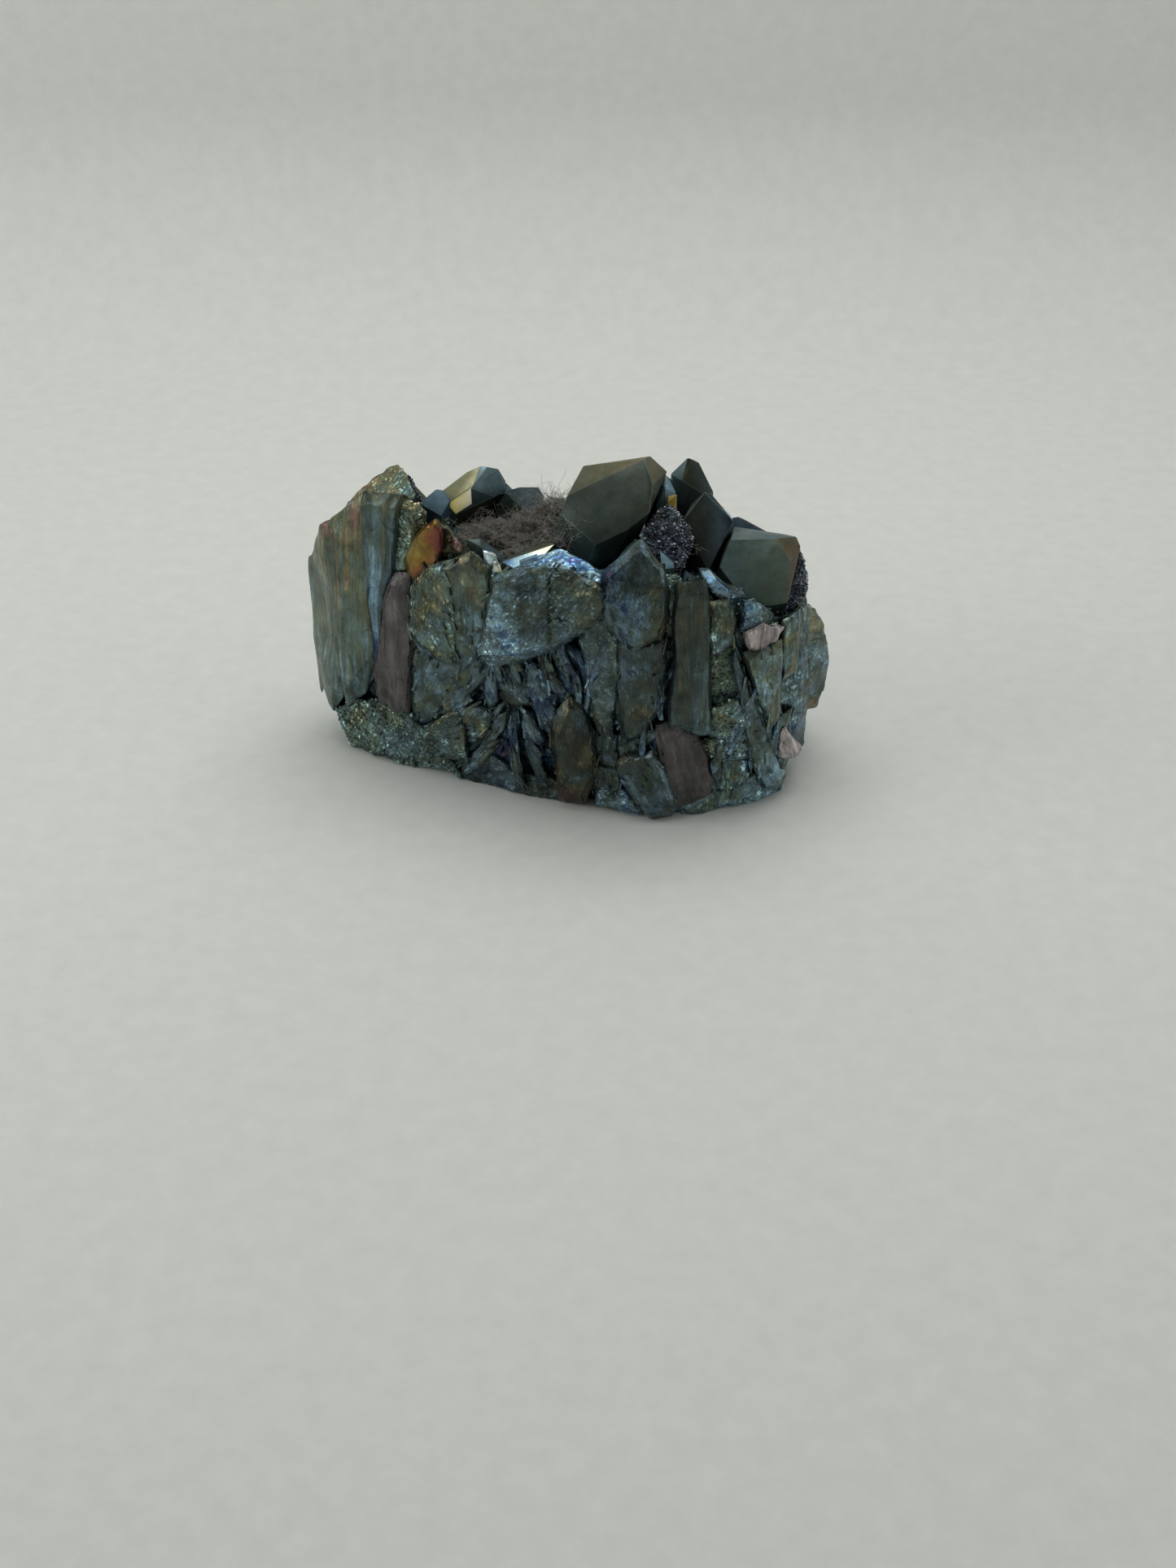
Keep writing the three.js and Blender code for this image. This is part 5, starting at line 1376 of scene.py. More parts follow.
@dataclass(frozen=True)
class CoatFinish:
    """Titanium oxide coat, vapour-deposited on quartz: a dark mirror with film colours.

    Attributes:
        name: Name of the material.
        colours: Colours over the film order.
        metallic: Share of the mirror.
        rough: Range of roughness.
        drift: How far the film order wanders.
        drift_mm: Breadth of its streaks, and their length along the growth.
        mottle: How far the brightness wanders.
        line_mm: Breadth of the growth lines, and their length.
        line_depth_mm: Depth of the growth lines.
        line_tone: How much they differ in brightness.
        glint_mm: Breadth of the finest chips, and their length along the growth.
        glint_tilt: How far the finest chips tilt.
        glint_tone: How much they differ in brightness; the rare bright chips are painted glints.
        glint_patch: Share of the tilt between and in glittering patches.
        crack_mm: Breadth of the fields between cracks, and their length along the growth.
        grit_mm: Size of the grit.
        grit_depth_mm: Depth of the grit.
        dust: Share of the surface that dust dulls.
        specks: How much single specks of dust cover.
    """

    name: str
    colours: tuple[tuple[float, str], ...] = COAT_COLOURS
    metallic: float = 0.6
    rough: tuple[float, float] = (0.2, 0.45)
    drift: float = 0.06
    drift_mm: tuple[float, float] = (2.6, 3.6)
    mottle: float = 0.35
    line_mm: tuple[float, float] = (0.25, 6.0)
    line_depth_mm: float = 0.0
    line_tone: float = 0.0
    glint_mm: tuple[float, float] = (0.4, 0.4)
    glint_tilt: float = 0.0
    glint_tone: float = 0.0
    glint_patch: tuple[float, float] = (0.1, 1.5)
    crack_mm: tuple[float, float] | None = None
    grit_mm: float = 0.6
    grit_depth_mm: float = 0.05
    dust: float = 0.08
    specks: float = 0.0

    def material(self) -> bpy.types.Material:
        """Build the material."""
        made, tree, place = material_of(self.name)
        film, shade = attribute(tree, "film"), attribute(tree, "shade")
        drift = mapped(tree, self.streaks(tree, self.drift_mm, 4.0, 0.6), -self.drift, self.drift)
        fine = mapped(tree, noise_of(tree, place, 0.45, 2.0), -self.drift * 0.5, self.drift * 0.5)
        order = maths(tree, "ADD", maths(tree, "ADD", film, drift), fine)
        if self.colours[-1][0] > 1:
            order = maths(tree, "DIVIDE", order, FILM_SPAN)
        tint = ramp(tree, self.colours, order)
        mottle = mapped(tree, noise_of(tree, place, 2.2, 8.0), 1 - self.mottle, 1 + self.mottle)
        level = maths(tree, "MULTIPLY", shade, mottle)
        normal = None
        if self.line_depth_mm:
            lines = self.streaks(tree, self.line_mm, 3.0, 0.65)
            # Painted shade in the grooves of the growth lines and a painted highlight on their crests.
            tone = ramp(tree, LINE_SHADE_AND_HIGHLIGHT, lines)
            tone = maths(tree, "MULTIPLY_ADD", tone, 2 * self.line_tone, 1 - self.line_tone)
            level = maths(tree, "MULTIPLY", level, tone)
        if self.glint_tilt:
            level, normal = self.glinting(tree, place, level)
        if self.crack_mm:
            level = maths(tree, "MULTIPLY", level, self.cracks(tree, place))
        lit = vector_maths(tree, "SCALE", tint, level)
        soil = mapped(tree, noise_of(tree, place, 3.3, 6.0), -self.dust, self.dust * 2)
        if self.specks:
            spots = mapped(tree, noise_of(tree, place, 0.22, 1.0), 0.0, self.specks, 0.66, 0.74)
            soil = maths(tree, "MAXIMUM", soil, spots)
        dusty = add(tree, "ShaderNodeMix", {"data_type": "RGBA"}, {0: soil, 6: lit, 7: linear(DUST)})
        links = {"Base Color": (dusty, 2), "Metallic": self.metallic,
                 "Roughness": mapped(tree, noise_of(tree, place, 1.7, 5.0), *self.rough)}
        if self.line_depth_mm:
            normal = bumped(tree, lines, self.line_depth_mm, normal)
        if self.grit_depth_mm:
            normal = bumped(tree, noise_of(tree, place, self.grit_mm, 4.0), self.grit_depth_mm, normal)
        if normal:
            links["Normal"] = normal
        shaded(tree, links)
        return made

    def streaks(self, tree: Tree, size_mm: tuple[float, float], detail: float,
                roughness: float) -> Output:
        """Add a noise with a breadth, and a length along the growth."""
        return add(tree, "ShaderNodeTexNoise", links={
            "Vector": self.stretched(tree, size_mm), "Scale": 1.0, "Detail": detail,
            "Roughness": roughness}), "Fac"

    def glinting(self, tree: Tree, place: Output, level: Output) -> tuple[Output, Output]:
        """Add the finest chips, and return the brightness with their painted glints and the normal that they
        tilt.
        """
        chip = add(tree, "ShaderNodeTexVoronoi", {"feature": "F1"}, {
            "Vector": self.stretched(tree, self.glint_mm), "Scale": 1.0})
        patch = mapped(tree, noise_of(tree, place, 2.4, 2.0), *self.glint_patch)
        painted_glint_draw = add(tree, "ShaderNodeSeparateColor", links={"Color": (chip, "Color")})
        # Painted glints: a few chips are painted up to 1 + 3 glint_tone times brighter.
        spark = maths(tree, "MULTIPLY", maths(tree, "POWER", (painted_glint_draw, "Red"), 7.0), patch)
        tone = mapped(tree, spark, 1 - 0.2 * self.glint_tone, 1 + 3 * self.glint_tone, 0.0, 1.0)
        level = maths(tree, "MULTIPLY", level, tone)
        reach = maths(tree, "MULTIPLY", patch, self.glint_tilt)
        way = vector_maths(tree, "SUBTRACT", (chip, "Color"), (0.5, 0.5, 0.5))
        way = vector_maths(tree, "SCALE", way, reach)
        flat = (add(tree, "ShaderNodeNewGeometry"), "Normal")
        return level, vector_maths(tree, "NORMALIZE", vector_maths(tree, "ADD", flat, way))

    def cracks(self, tree: Tree, place: Output) -> Output:
        """Add fine cracks as brightness, open in places."""
        stray = (noise_of(tree, place, 1.4, 4.0)[0], "Color")
        stray = vector_maths(tree, "SCALE", stray, 2.2 * MM)
        edge = add(tree, "ShaderNodeTexVoronoi", {"feature": "DISTANCE_TO_EDGE"}, {
            "Vector": self.stretched(tree, self.crack_mm, stray), "Scale": 1.0})
        open_to = mapped(tree, noise_of(tree, place, 3.0, 2.0), 1.1, 0.25)
        return mapped(tree, (edge, "Distance"), open_to, 1.0, 0.0, 0.045)

    @staticmethod
    def stretched(tree: Tree, size_mm: tuple[float, float], *stray: Output) -> Output:
        """Add coordinates in which a pattern has a breadth, and a length along the growth."""
        place = vector_maths(tree, "ADD", attribute(tree, "growth", "Vector"), *stray)
        breadth, length = (1 / (size * MM) for size in size_mm)
        return add(tree, "ShaderNodeMapping", {"vector_type": "POINT"}, {
            "Vector": place, "Scale": (breadth, breadth, length)}), "Vector"


@dataclass(frozen=True)
class LintFinish:
    """Household lint: matted textile fibre, matt and grey-brown."""

    name: str
    dark: str
    light: str

    def material(self) -> bpy.types.Material:
        """Build the material."""
        made, tree, place = material_of(self.name)
        strands = (add(tree, "ShaderNodeTexNoise", links={
            "Vector": place, "Scale": 1 / (0.35 * MM), "Detail": 6.0, "Roughness": 0.75,
            "Distortion": 2.5}), "Fac")
        shaded(tree, {
            "Base Color": ramp(tree, ((0.35, self.dark), (0.65, self.light)), strands),
            "Roughness": 0.95, "Sheen Weight": 0.3, "Normal": bumped(tree, strands, 0.25)})
        return made


FINISHES = {
    # Flat faces: a satin mirror with faint lines across the growth, dulled by dust.
    MIRROR: CoatFinish(
        "vapour_coated_quartz_faces", rough=(0.34, 0.54), drift=0.025, mottle=0.2, line_mm=(4.0, 0.3),
        line_depth_mm=0.01, line_tone=0.08, grit_mm=0.7, grit_depth_mm=0.02, specks=0.3),
    # Broken surfaces under the coat: wavy, glassy breaks with fine ripples and cracks.
    SMOOTH: CoatFinish(
        "vapour_coated_conchoidal_break", rough=(0.2, 0.4), drift=0.12, mottle=0.5, line_mm=(0.4, 3.0),
        line_depth_mm=0.07, line_tone=0.45, glint_mm=(0.36, 1.0), glint_tilt=0.35, glint_tone=0.5,
        glint_patch=(-0.3, 1.2), crack_mm=(2.2, 4.5), grit_mm=0.35, grit_depth_mm=0.04),
    # Glassy curved faces of single fragments.
    SATIN: CoatFinish(
        "vapour_coated_glassy_break", metallic=0.7, rough=(0.22, 0.36), drift=0.04, line_mm=(0.5, 3.0),
        line_depth_mm=0.02, line_tone=0.12, grit_mm=0.5, grit_depth_mm=0.015, dust=0.06),
    # Shafts with lines along their growth.
    STRIATED: CoatFinish(
        "vapour_coated_striated_shaft", rough=(0.24, 0.44), drift=0.1, drift_mm=(1.0, 12.0),
        line_mm=(0.3, 7.0), line_depth_mm=0.06, line_tone=0.5, glint_mm=(0.5, 4.0), glint_tilt=0.15,
        glint_tone=0.2, crack_mm=(3.0, 9.0), grit_mm=0.4, grit_depth_mm=0.03),
    # Crinkled break that glitters like foil in places.
    CRINKLED: CoatFinish(
        "vapour_coated_crinkled_break", metallic=0.65, rough=(0.16, 0.36), drift=0.11, mottle=0.55,
        line_mm=(0.36, 0.9), line_depth_mm=0.13, line_tone=0.65, glint_mm=(0.34, 0.6), glint_tilt=0.5,
        glint_tone=1.0, glint_patch=(-0.3, 1.6), crack_mm=(1.6, 2.8), grit_mm=0.35, grit_depth_mm=0.06),
    # Crumbly break.
    GRANULAR: CoatFinish(
        "vapour_coated_granular_break", rough=(0.24, 0.5), drift=0.05, mottle=0.5, line_mm=(0.4, 0.6),
        line_depth_mm=0.1, line_tone=0.5, glint_mm=(0.34, 0.34), glint_tilt=0.45, glint_tone=0.8,
        glint_patch=(-0.3, 1.3), grit_mm=0.3, grit_depth_mm=0.08),
    # Uncoated quartz, violet to pinkish white, with fine lines.
    BARE: CoatFinish(
        "bare_amethyst_quartz", QUARTZ_COLOURS, metallic=0.0, rough=(0.14, 0.34), drift=0.2,
        drift_mm=(1.2, 9.0), line_mm=(0.26, 6.0), line_depth_mm=0.07, line_tone=0.6,
        glint_mm=(0.6, 5.0), glint_tilt=0.2, glint_tone=0.2, crack_mm=(3.0, 9.0), grit_depth_mm=0.03,
        dust=0.12),
}
# Druse: tiny mirror-bright tips, blue-black; the near-white end of its colours paints glints on single tips.
DRUSE_TIPS = CoatFinish("vapour_coated_druse", DRUSE_COLOURS_AND_GLINTS, rough=(0.1, 0.24), drift=0.5,
                        grit_depth_mm=0.0, dust=0.0)
FELT = LintFinish("matted_lint", "#302e29", "#757167")
FIBRE = LintFinish("lint_fibre", "#8a857a", "#d2cdc2")


class NodeTree:
    """Base for a geometry node tree that is built here and baked to a plain mesh."""

    name = "tree"
    sizes: dict[str, str] = {}

    def __init__(self) -> None:
        """Make the tree's interface and nodes."""
        self.tree = bpy.data.node_groups.new(self.name, "GeometryNodeTree")
        self.sockets: dict[str, str] = {}
        face = self.tree.interface
        face.new_socket("Geometry", in_out="INPUT", socket_type="NodeSocketGeometry")
        for label, kind in {**self.sizes, "Material": "Material"}.items():
            socket = face.new_socket(label, in_out="INPUT", socket_type="NodeSocket" + kind)
            self.sockets[label] = socket.identifier
        face.new_socket("Geometry", in_out="OUTPUT", socket_type="NodeSocketGeometry")
        self.inputs = add(self.tree, "NodeGroupInput")
        real = add(self.tree, "GeometryNodeRealizeInstances", links={"Geometry": self.build()})
        dressed = add(self.tree, "GeometryNodeSetMaterial", links={
            "Geometry": (real, "Geometry"), "Material": (self.inputs, "Material")})
        add(self.tree, "NodeGroupOutput", links={"Geometry": (dressed, "Geometry")})

    def build(self) -> Output:
        """Add the nodes between the input and Realize Instances, and return the last output."""
        raise NotImplementedError

    def bake(self, name: str, base: bpy.types.Mesh, values: dict[str, Any]) -> bpy.types.Object:
        """Run the tree on a mesh and keep the result as a plain mesh.

        Args:
            name: Name of the new object.
            base: Mesh that the tree works on. It is removed afterwards.
            values: Value for each named input.

        Returns:
            The object, with no modifier.
        """
        made = placed(name, base)
        modifier = made.modifiers.new(self.name, "NODES")
        modifier.node_group = self.tree
        for label, value in values.items():
            modifier[self.sockets[label]] = value
        graph = bpy.context.evaluated_depsgraph_get()
        graph.update()
        mesh = bpy.data.meshes.new_from_object(made.evaluated_get(graph), preserve_all_data_layers=True,
                                               depsgraph=graph)
        made.modifiers.remove(modifier)
        made.data = mesh
        mesh.name = name
        bpy.data.meshes.remove(base)
        return made


class Crust(NodeTree):
    """Base for a crust of small bodies, strewn over a surface at random."""

    def strewn(self) -> bpy.types.Node:
        """Add the points at which the bodies stand."""
        given = self.inputs
        return add(self.tree, "GeometryNodeDistributePointsOnFaces", {"distribute_method": "POISSON"}, {
            "Mesh": (given, "Geometry"), "Distance Min": (given, "Spacing"),
            "Density Max": (given, "Density"), "Seed": (given, "Seed")})

    def drawn(self, kind: str, low: Any, high: Any) -> Output:
        """Add a number or vector for each body, drawn between two limits."""
        first, output = (2, 1) if kind == "FLOAT" else (0, "Value")
        return add(self.tree, "FunctionNodeRandomValue", {"data_type": kind}, {
            first: low, first + 1: high, "Seed": (self.inputs, "Seed")}), output

    def named(self, kind: str, name: str) -> Output:
        """Add the value of a named attribute of the surface."""
        return add(self.tree, "GeometryNodeInputNamedAttribute", {"data_type": kind},
                   {"Name": name}), "Attribute"

    def stored(self, kind: str, geometry: Output, name: str, value: Output) -> Output:
        """Add a named attribute to a geometry."""
        return add(self.tree, "GeometryNodeStoreNamedAttribute", {"data_type": kind, "domain": "POINT"}, {
            "Geometry": geometry, "Name": name, "Value": value}), "Geometry"

    def toned(self, points: bpy.types.Node, factor: Output) -> Output:
        """Give the points the surface's brightness, times a factor."""
        shade = maths(self.tree, "MULTIPLY", self.named("FLOAT", "shade"), factor)
        return self.stored("FLOAT", (points, "Points"), "shade", shade)

    def turned(self, rotation: Output, spin: tuple[float, float]) -> Output:
        """Tilt a rotation at random, and spin it about its own axis within a range."""
        tilt = (self.inputs, "Tilt")
        lean = maths(self.tree, "MULTIPLY", tilt, -1.0)
        ends = [(add(self.tree, "ShaderNodeCombineXYZ", links={"X": side, "Y": side, "Z": angle}), "Vector")
                for side, angle in zip((lean, tilt), spin)]
        return add(self.tree, "FunctionNodeRotateRotation", {"rotation_space": "LOCAL"}, {
            "Rotation": rotation, "Rotate By": self.drawn("FLOAT_VECTOR", *ends)}), "Rotation"

    def stood(self, points: Output, body: Output, rotation: Output, size: Output) -> Output:
        """Put a body on each point."""
        return add(self.tree, "GeometryNodeInstanceOnPoints", links={
            "Points": points, "Instance": body, "Rotation": rotation, "Scale": size}), "Instances"


class GrainCrust(Crust):
    """Six-sided tips strewn over a surface, each leaning its own way, a few of them with a painted glint."""

    name = "grain_crust"
    sizes = {"Spacing": "Float", "Density": "Float", "Smallest": "Float", "Largest": "Float",
             "Tilt": "Float", "Seed": "Int"}

    def build(self) -> Output:
        """Add the nodes that strew the tips."""
        tree, strewn = self.tree, self.strewn()
        # One tip: as high as its radius times the slope of quartz, on a short shaft.
        tip = add(tree, "GeometryNodeMeshCone", links={
            "Vertices": 6, "Side Segments": 1, "Radius Top": 0.14, "Radius Bottom": 0.5, "Depth": 0.62})
        size = self.drawn("FLOAT", (self.inputs, "Smallest"), (self.inputs, "Largest"))
        # Painted glints: a few grains get up to 3.6 times the surface's brightness.
        painted_glint_draw = maths(tree, "POWER", self.drawn("FLOAT", 0.0, 1.0), 6.0)
        toned = self.toned(strewn, maths(tree, "MULTIPLY_ADD", painted_glint_draw, 3.0, 0.6))
        turned = self.turned((strewn, "Rotation"), (0.0, math.tau))
        return self.stood(toned, (tip, "Mesh"), turned, size)


class SplinterCrust(Crust):
    """Slivers that lie on a surface along its growth, as broken off the shafts."""

    name = "splinter_crust"
    sizes = {"Spacing": "Float", "Density": "Float", "Smallest": "Vector", "Largest": "Vector",
             "Tilt": "Float", "Seed": "Int"}

    def build(self) -> Output:
        """Add the nodes that lay the slivers."""
        tree, strewn = self.tree, self.strewn()
        # One sliver: a five-sided prism that narrows, with its own growth coordinates.
        prism = add(tree, "GeometryNodeMeshCone", links={
            "Vertices": 5, "Side Segments": 1, "Radius Top": 0.28, "Radius Bottom": 0.5, "Depth": 1.0})
        middle = add(tree, "GeometryNodeTransform", links={
            "Geometry": (prism, "Mesh"), "Translation": (0, 0, -0.5)})
        spot = vector_maths(tree, "MULTIPLY", (add(tree, "GeometryNodeInputPosition"), "Position"),
                            (0.7 * MM, 0.7 * MM, 2.5 * MM))
        grown = self.stored("FLOAT_VECTOR", (middle, "Geometry"), "growth", spot)
        toned = self.toned(strewn, self.drawn("FLOAT", 0.5, 1.7))
        upright = add(tree, "FunctionNodeAlignRotationToVector", {"axis": "Z"}, {
            "Vector": self.named("FLOAT_VECTOR", "along")})
        flat = add(tree, "FunctionNodeAlignRotationToVector", {"axis": "X", "pivot_axis": "Z"}, {
            "Rotation": (upright, "Rotation"), "Vector": (strewn, "Normal")})
        turned = self.turned((flat, "Rotation"), (-1.2, 1.2))
        size = self.drawn("FLOAT_VECTOR", (self.inputs, "Smallest"), (self.inputs, "Largest"))
        return self.stood(toned, grown, turned, size)


class FibreTubes(NodeTree):
    """Thin tubes along the edges of a mesh."""

    name = "fibre_tubes"
    sizes = {"Radius": "Float"}

    def build(self) -> Output:
        """Add the nodes that turn polylines to tubes."""
        line = add(self.tree, "GeometryNodeMeshToCurve", links={"Mesh": (self.inputs, "Geometry")})
        ring = add(self.tree, "GeometryNodeCurvePrimitiveCircle", links={
            "Resolution": 3, "Radius": (self.inputs, "Radius")})
        return add(self.tree, "GeometryNodeCurveToMesh", links={
            "Curve": (line, "Curve"), "Profile Curve": (ring, "Curve"), "Fill Caps": True}), "Mesh"


# Shards with loose grains on them, by their place in the table.
GRITTY_SHARDS = (5, 25, 26, 27, 35, 40, 41, 42)


def settle(piece: bpy.types.Object, stands_for: bool = True) -> None:
    """Fasten a finished piece to the frame.

    Args:
        piece: The piece.
        stands_for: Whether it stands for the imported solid.
    """
    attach(piece, "root")
    if stands_for:
        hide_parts("crystal_cluster")
    LOG.info("%s: %d triangles", piece.name, sum(len(p.vertices) - 2 for p in piece.data.polygons))


@dataclass
class Cluster:
    """Everything grown together: body, wall, points, far side and druse.

    Attributes:
        tiers: Pitch, breadths, tops, feet and stand of each tier of far columns.
        wall_cuts: Where along its length the wall is shared out over its three pieces.
        open_depth: Depth in other chunks to which a face still lies open.
        grain_foot: Least height of the faces that carry grains.
        splinter_foot: Least height of the faces that carry splinters.
        seam_reach: How far from another chunk splinters lie.
    """

    tiers: tuple[tuple, ...] = (
        (5.2, (4.5, 10), (24, 38), (0, 13), 0.0), (7.5, (5, 11), (7, 19), (0, 2), 0.5))
    wall_cuts: tuple[float, float] = (-13.0, 8.0)
    open_depth: float = 0.15
    grain_foot: float = 0.7
    splinter_foot: float = 1.9
    seam_reach: float = 0.9

    def grown(self) -> dict[str, list[Chunk]]:
        """Return the chunks of each group, in the order in which they were grown."""
        growth = Growth()
        groups = {
            "rock_body": [growth.block(*block) for block in BODY_BLOCKS],
            "broken_wall": [growth.shard(shard) for shard in SHARDS] + list(Growth().slivers(72, 4)),
        }
        points = [growth.point(point) for point in POINTS]
        for point in BACK_POINTS:
            coat = Coat(MIRROR, 0.5 + 0.4 * point.turn, 0.6 + 0.3 * point.turn, 0.75)
            points.append(growth.quartz(point, coat))
        points += [growth.quartz(point, Coat(MIRROR, 0.6, 0.64, 0.55)) for point in GAP_POINTS]
        groups["crystal_points"] = points + list(growth.young())
        groups["far_columns"] = [column for tier in self.tiers for column in growth.columns(*tier)]
        rock = Coat(GRANULAR, 0.46, 0.56, 0.35)
        groups["druse_rock"] = [Chunk([Vector(corner) for corner in druse.lump], rock, coarse=1.4)
                                for druse in DRUSE]
        return groups

    def build(self) -> list[bpy.types.Object]:
        """Grow, work and join all chunks."""
        finishes = {relief: finish.material() for relief, finish in FINISHES.items()}
        groups = self.grown()
        chunks = [chunk for group in groups.values() for chunk in group]
        hulls = [convex(chunk.corners) for chunk in chunks]
        crowd = Crowd(hulls)
        surfaces = (Surface(chunk, hulls[index], index, crowd) for index, chunk in enumerate(chunks))
        worked: dict[str, list[Worked]] = {}
        made: list[bpy.types.Object] = []
        for name, group in groups.items():
            parts = worked[name] = [next(surfaces).worked() for _ in group]
            if name in ("broken_wall", "far_columns"):
                SharedCoat(parts).run()
            patchworks: dict[str, Patchwork] = {}
            for chunk, part in zip(group, parts):
                piece = self.piece_of(name, chunk)
                patchworks.setdefault(piece, Patchwork(piece, finishes)).parts.append(part)
            made += [patchwork.object() for patchwork in patchworks.values()]
        for hull in hulls:
            hull.free()
        return made + self.crusts(worked, crowd, finishes)

    def piece_of(self, group: str, chunk: Chunk) -> str:
        """Return the name of the piece that a chunk of a group goes into."""
        if group != "broken_wall":
            return group
        middle = sum(corner.x for corner in chunk.corners) / len(chunk.corners)
        return "broken_wall_" + ("left", "middle", "right")[sum(middle > cut for cut in self.wall_cuts)]

    def crusts(self, worked: dict[str, list[Worked]], crowd: Crowd,
               finishes: dict[Relief, bpy.types.Material]) -> list[bpy.types.Object]:
        """Strew druse over the lumps, grit over the granular shards and splinters along the wall's seams.

        Args:
            worked: Surfaces of each group.
            crowd: All chunks.
            finishes: Material for each relief.

        Returns:
            The three crusts.
        """
        grains, wall = GrainCrust(), worked["broken_wall"]
        facings = [druse.facing for druse in DRUSE]
        druse = grains.bake("druse_crust", self.open_faces(worked["druse_rock"], crowd, facings), {
            "Spacing": 0.3 * MM, "Density": 9e6, "Smallest": 0.34 * MM, "Largest": 0.66 * MM, "Tilt": 0.5,
            "Seed": 3, "Material": DRUSE_TIPS.material()})
        gritty = [wall[place] for place in GRITTY_SHARDS]
        grit = grains.bake("grit_crust", self.open_faces(gritty, crowd), {
            "Spacing": 0.4 * MM, "Density": 3e6, "Smallest": 0.28 * MM, "Largest": 0.75 * MM, "Tilt": 1.3,
            "Seed": 8, "Material": finishes[GRANULAR]})
        wavy = [part for part in wall if part.relief in (SMOOTH, CRINKLED)]
        splinters = SplinterCrust().bake("splinters", self.open_faces(wavy, crowd, at_seams=True), {
            "Spacing": 1.6 * MM, "Density": 4e5, "Smallest": (0.35 * MM, 0.5 * MM, 1.0 * MM),
            "Largest": (0.7 * MM, 1.4 * MM, 3.4 * MM), "Tilt": 0.3, "Seed": 5,
            "Material": finishes[SMOOTH]})
        return [druse, grit, splinters]

    def open_faces(self, parts: list[Worked], crowd: Crowd, facings: Sequence[Triple] = (),
                   at_seams: bool = False) -> bpy.types.Mesh:
        """Return the faces of chunks that lie open, with their coat.

        Args:
            parts: Surface of each chunk.
            crowd: All chunks.
            facings: Direction that each chunk's faces must look in, where it is given.
            at_seams: Whether faces must lie near another chunk.

        Returns:
            A mesh in metres, for strewing on.
        """
        points, films, shades, along = [], [], [], []
        foot = self.splinter_foot if at_seams else self.grain_foot
        for place, part in enumerate(parts):
            corners = part.points[part.faces]
            middles = corners.mean(axis=1)
            normals = unit(crossed(part.points, part.faces))
            deep = crowd.depth(middles, part.index)
            shown = (deep < self.open_depth) & (normals[:, 2] > -0.5) & (middles[:, 2] > foot)
            if at_seams:
                shown &= deep > -self.seam_reach
            elif facings:
                shown &= normals @ (np.array(facings[place]) / np.linalg.norm(facings[place])) > -0.15
            else:
                shown &= normals[:, 1] < 0.2
            points.append((corners[shown].reshape(-1, 3) + MARK) * MM)
            films.append(part.film[shown].ravel())
            shades.append(part.shade[shown].ravel())
            along.append(np.tile(part.along, 3 * int(shown.sum())))
        places = np.vstack(points)
        mesh = bpy.data.meshes.new("open_faces")
        mesh.from_pydata(places.tolist(), [], np.arange(len(places)).reshape(-1, 3).tolist())
        for name, kind, key, rows in (("film", "FLOAT", "value", films), ("shade", "FLOAT", "value", shades),
                                      ("along", "FLOAT_VECTOR", "vector", along)):
            layer = mesh.attributes.new(name, kind, "POINT")
            layer.data.foreach_set(key, np.concatenate(rows).astype(np.float32))
        mesh.update()
        return mesh


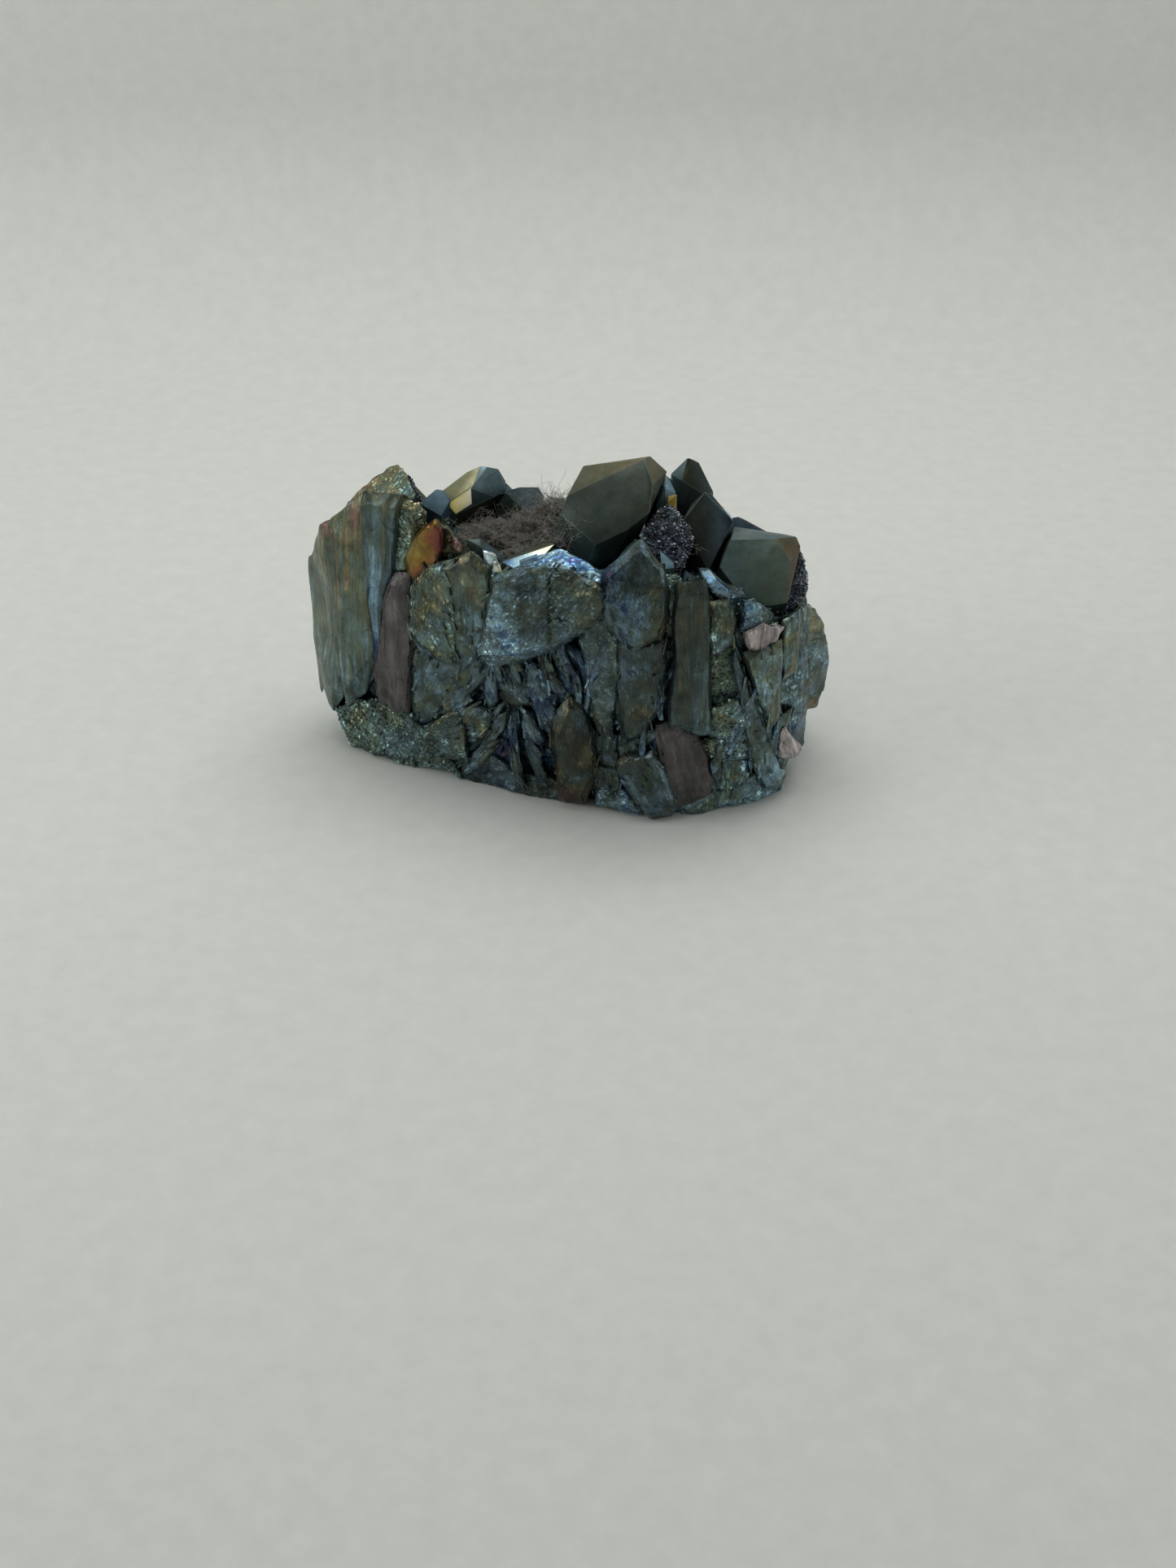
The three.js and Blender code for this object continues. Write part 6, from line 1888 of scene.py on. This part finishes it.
@dataclass
class Lint:
    """Lint caught between the points: matted pads and loose fibres.

    Attributes:
        pads: Middle and half sizes of each matted pad.
        threads: Number of loose fibres over the pads.
        wisps: Start, number and reach of the tufts that stand up.
    """

    pads: tuple[tuple[Triple, Triple], ...] = (
        ((-14.0, 1.5, 39.2), (8.0, 5.0, 1.7)), ((-13.0, 6.5, 41.4), (8.0, 4.5, 2.0)),
        ((-6.0, 3.0, 40.0), (6.0, 4.5, 1.9)), ((-5.5, 8.0, 42.6), (5.0, 3.4, 2.2)),
        ((-2.5, 9.2, 44.8), (2.2, 2.0, 1.8)), ((-19.5, 1.0, 38.8), (4.0, 3.6, 1.4)),
    )
    threads: int = 1400
    wisps: tuple[tuple[Triple, int, float], ...] = (
        ((-2.5, 9.0, 46.5), 30, 3.2), ((0.0, 0.0, 46.6), 50, 2.8), ((-1.8, -1.0, 44.0), 50, 2.6),
        ((20.0, -4.5, 45.0), 8, 3.0),
    )

    def build(self) -> list[bpy.types.Object]:
        """Make the pads and the fibres."""
        return [self.felt(), self.fibres()]

    def felt(self) -> bpy.types.Object:
        """Make the matted pads."""
        shape = bmesh.new()
        for middle, half in self.pads:
            made = bmesh.ops.create_icosphere(shape, subdivisions=5, radius=1.0)
            for vert in made["verts"]:
                at = Vector((vert.co.x * half[0], vert.co.y * half[1], vert.co.z * half[2])) + Vector(middle)
                lift = noise.fractal(at * 0.5, 0.9, 2.0, 5) * 1.7 + noise.noise(at * 2.6) * 0.35
                vert.co = at + vert.co.normalized() * lift
        shape.transform(Matrix.Scale(MM, 4) @ Matrix.Translation(Vector(MARK)))
        mesh = bpy.data.meshes.new("lint_felt")
        shape.to_mesh(mesh)
        shape.free()
        mesh.shade_smooth()
        mesh.materials.append(FELT.material())
        return placed("lint_felt", mesh)

    def fibres(self) -> bpy.types.Object:
        """Make loose fibres that wander over the pads, and tufts that stand up."""
        rng = np.random.default_rng(11)
        points: list[list[float]] = []
        edges: list[tuple[int, int]] = []

        def thread(start: Array, heading: Array, steps: int, curl: float, sink: float) -> None:
            """Add one fibre as a wandering row of points."""
            at, way = start.copy(), heading / np.linalg.norm(heading)
            for step in range(steps):
                points.append(((at + MARK) * MM).tolist())
                if step:
                    edges.append((len(points) - 2, len(points) - 1))
                way = way + rng.normal(0, curl, 3)
                way[2] -= sink
                way /= np.linalg.norm(way)
                at = at + way * rng.uniform(0.35, 0.6)

        for _ in range(self.threads):
            middle, half = self.pads[rng.integers(len(self.pads))]
            spin, out = rng.uniform(0, math.tau), math.sqrt(rng.uniform(0, 1))
            dome = (math.cos(spin) * out, math.sin(spin) * out, math.sqrt(max(0.0, 1 - out * out)))
            start = np.array(middle) + np.array(dome) * np.array(half) * 1.05 + (0, 0, rng.uniform(0, 0.5))
            thread(start, rng.normal(0, 1, 3) * (1, 1, 0.15), int(rng.integers(6, 15)), 0.3, 0.03)
        for middle, count, reach in self.wisps:
            for _ in range(count):
                start = np.array(middle) + rng.normal(0, 0.45, 3) * reach * (0.6, 0.3, 0.5)
                thread(start, rng.normal(0, 1, 3) + (0, 0, 0.5), int(rng.integers(7, 18)), 0.45, 0.0)
        mesh = bpy.data.meshes.new("threads")
        mesh.from_pydata(points, edges, [])
        return FibreTubes().bake("lint_fibres", mesh, {"Radius": 0.024 * MM, "Material": FIBRE.material()})


@dataclass
class Studio:
    """Pale sheet that curves up behind, soft overhead light, and the camera.

    Attributes:
        eye: Place of the lens.
        pitch: Angle of the line of sight below level, in degrees.
        lens_mm: Focal length on a 36 mm long side.
        bend: Where the sheet begins to curve up.
        radius: Radius of its curve.
    """

    eye: Triple = (0.00401606, -0.32120146, 0.20849312)
    pitch: float = 33.81773
    lens_mm: float = 48.5729
    bend: float = 0.165
    radius: float = 0.055

    def build(self) -> None:
        """Make the camera, the sheet and the lights."""
        self.camera()
        self.sheet()
        self.light("softbox", (0.02, 0.09, 0.46), (0.0, 0.0, 0.0), (0.46, 0.36), 1.23)
        self.light("window", (-0.5, -0.12, 0.22), (0.0, 0.0, 0.02), (0.4, 0.3), 0.87)
        self.light("fill", (0.5, -0.14, 0.24), (0.0, -0.02, 0.0), (0.4, 0.3), 0.32)
        world = bpy.data.worlds.new("room")
        world.use_nodes = True
        background = world.node_tree.nodes["Background"]
        background.inputs["Color"].default_value = linear("#b9bdb8")
        background.inputs["Strength"].default_value = 0.32
        bpy.context.scene.world = world
        view = bpy.context.scene.view_settings
        view.view_transform, view.look = "Standard", "None"

    def camera(self) -> None:
        """Make the camera at the photograph's viewing angle."""
        data = bpy.data.cameras.new("camera")
        data.sensor_width, data.sensor_fit, data.lens = 36.0, "AUTO", self.lens_mm
        data.clip_start = 0.01
        data.dof.use_dof = False
        camera = placed("camera", data)
        camera.location = self.eye
        camera.rotation_euler = Euler((math.radians(90 - self.pitch), 0.0, 0.0))
        bpy.context.scene.camera = camera

    def sheet(self) -> None:
        """Make the pale sheet: a floor that curves up into a backdrop."""
        profile = [(-1.6, 0.0), (self.bend, 0.0)]
        for angle in np.linspace(0, math.pi / 2, 24)[1:]:
            profile.append((self.bend + self.radius * math.sin(angle), self.radius * (1 - math.cos(angle))))
        profile.append((self.bend + self.radius, 0.6))
        points = [(x, y, z) for y, z in profile for x in (-1.6, 1.6)]
        faces = [(2 * i, 2 * i + 1, 2 * i + 3, 2 * i + 2) for i in range(len(profile) - 1)]
        mesh = bpy.data.meshes.new("paper_sheet")
        mesh.from_pydata(points, [], faces)
        mesh.shade_smooth()
        # Matt white card: no gloss, a faint tooth.
        card, tree, place = material_of("matt_white_card")
        tooth = ramp(tree, ((0.3, "#dcded9"), (0.7, "#e2e4df")), noise_of(tree, place, 4.0))
        shaded(tree, {"Base Color": tooth, "Roughness": 0.9, "Specular IOR Level": 0.1})
        mesh.materials.append(card)
        placed("paper_sheet", mesh)

    def light(self, name: str, place: Triple, aim: Triple, size: tuple[float, float], watts: float) -> None:
        """Add a soft rectangular light.

        Args:
            name: Its name.
            place: Its place in metres.
            aim: Point that it looks at.
            size: Its width and depth in metres.
            watts: Its power.
        """
        data = bpy.data.lights.new(name, "AREA")
        data.shape, data.size, data.size_y, data.energy = "RECTANGLE", *size, watts
        lamp = placed(name, data)
        lamp.location = place
        lamp.rotation_euler = (Vector(aim) - Vector(place)).to_track_quat("-Z", "Y").to_euler()


def main() -> None:
    """Build the scene piece by piece."""
    logging.basicConfig(level=logging.INFO, format="%(name)s %(message)s")
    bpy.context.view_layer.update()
    Studio().build()
    for piece in Cluster().build():
        settle(piece)
    for piece in Lint().build():
        settle(piece, stands_for=False)


if __name__ == "__main__":
    main()
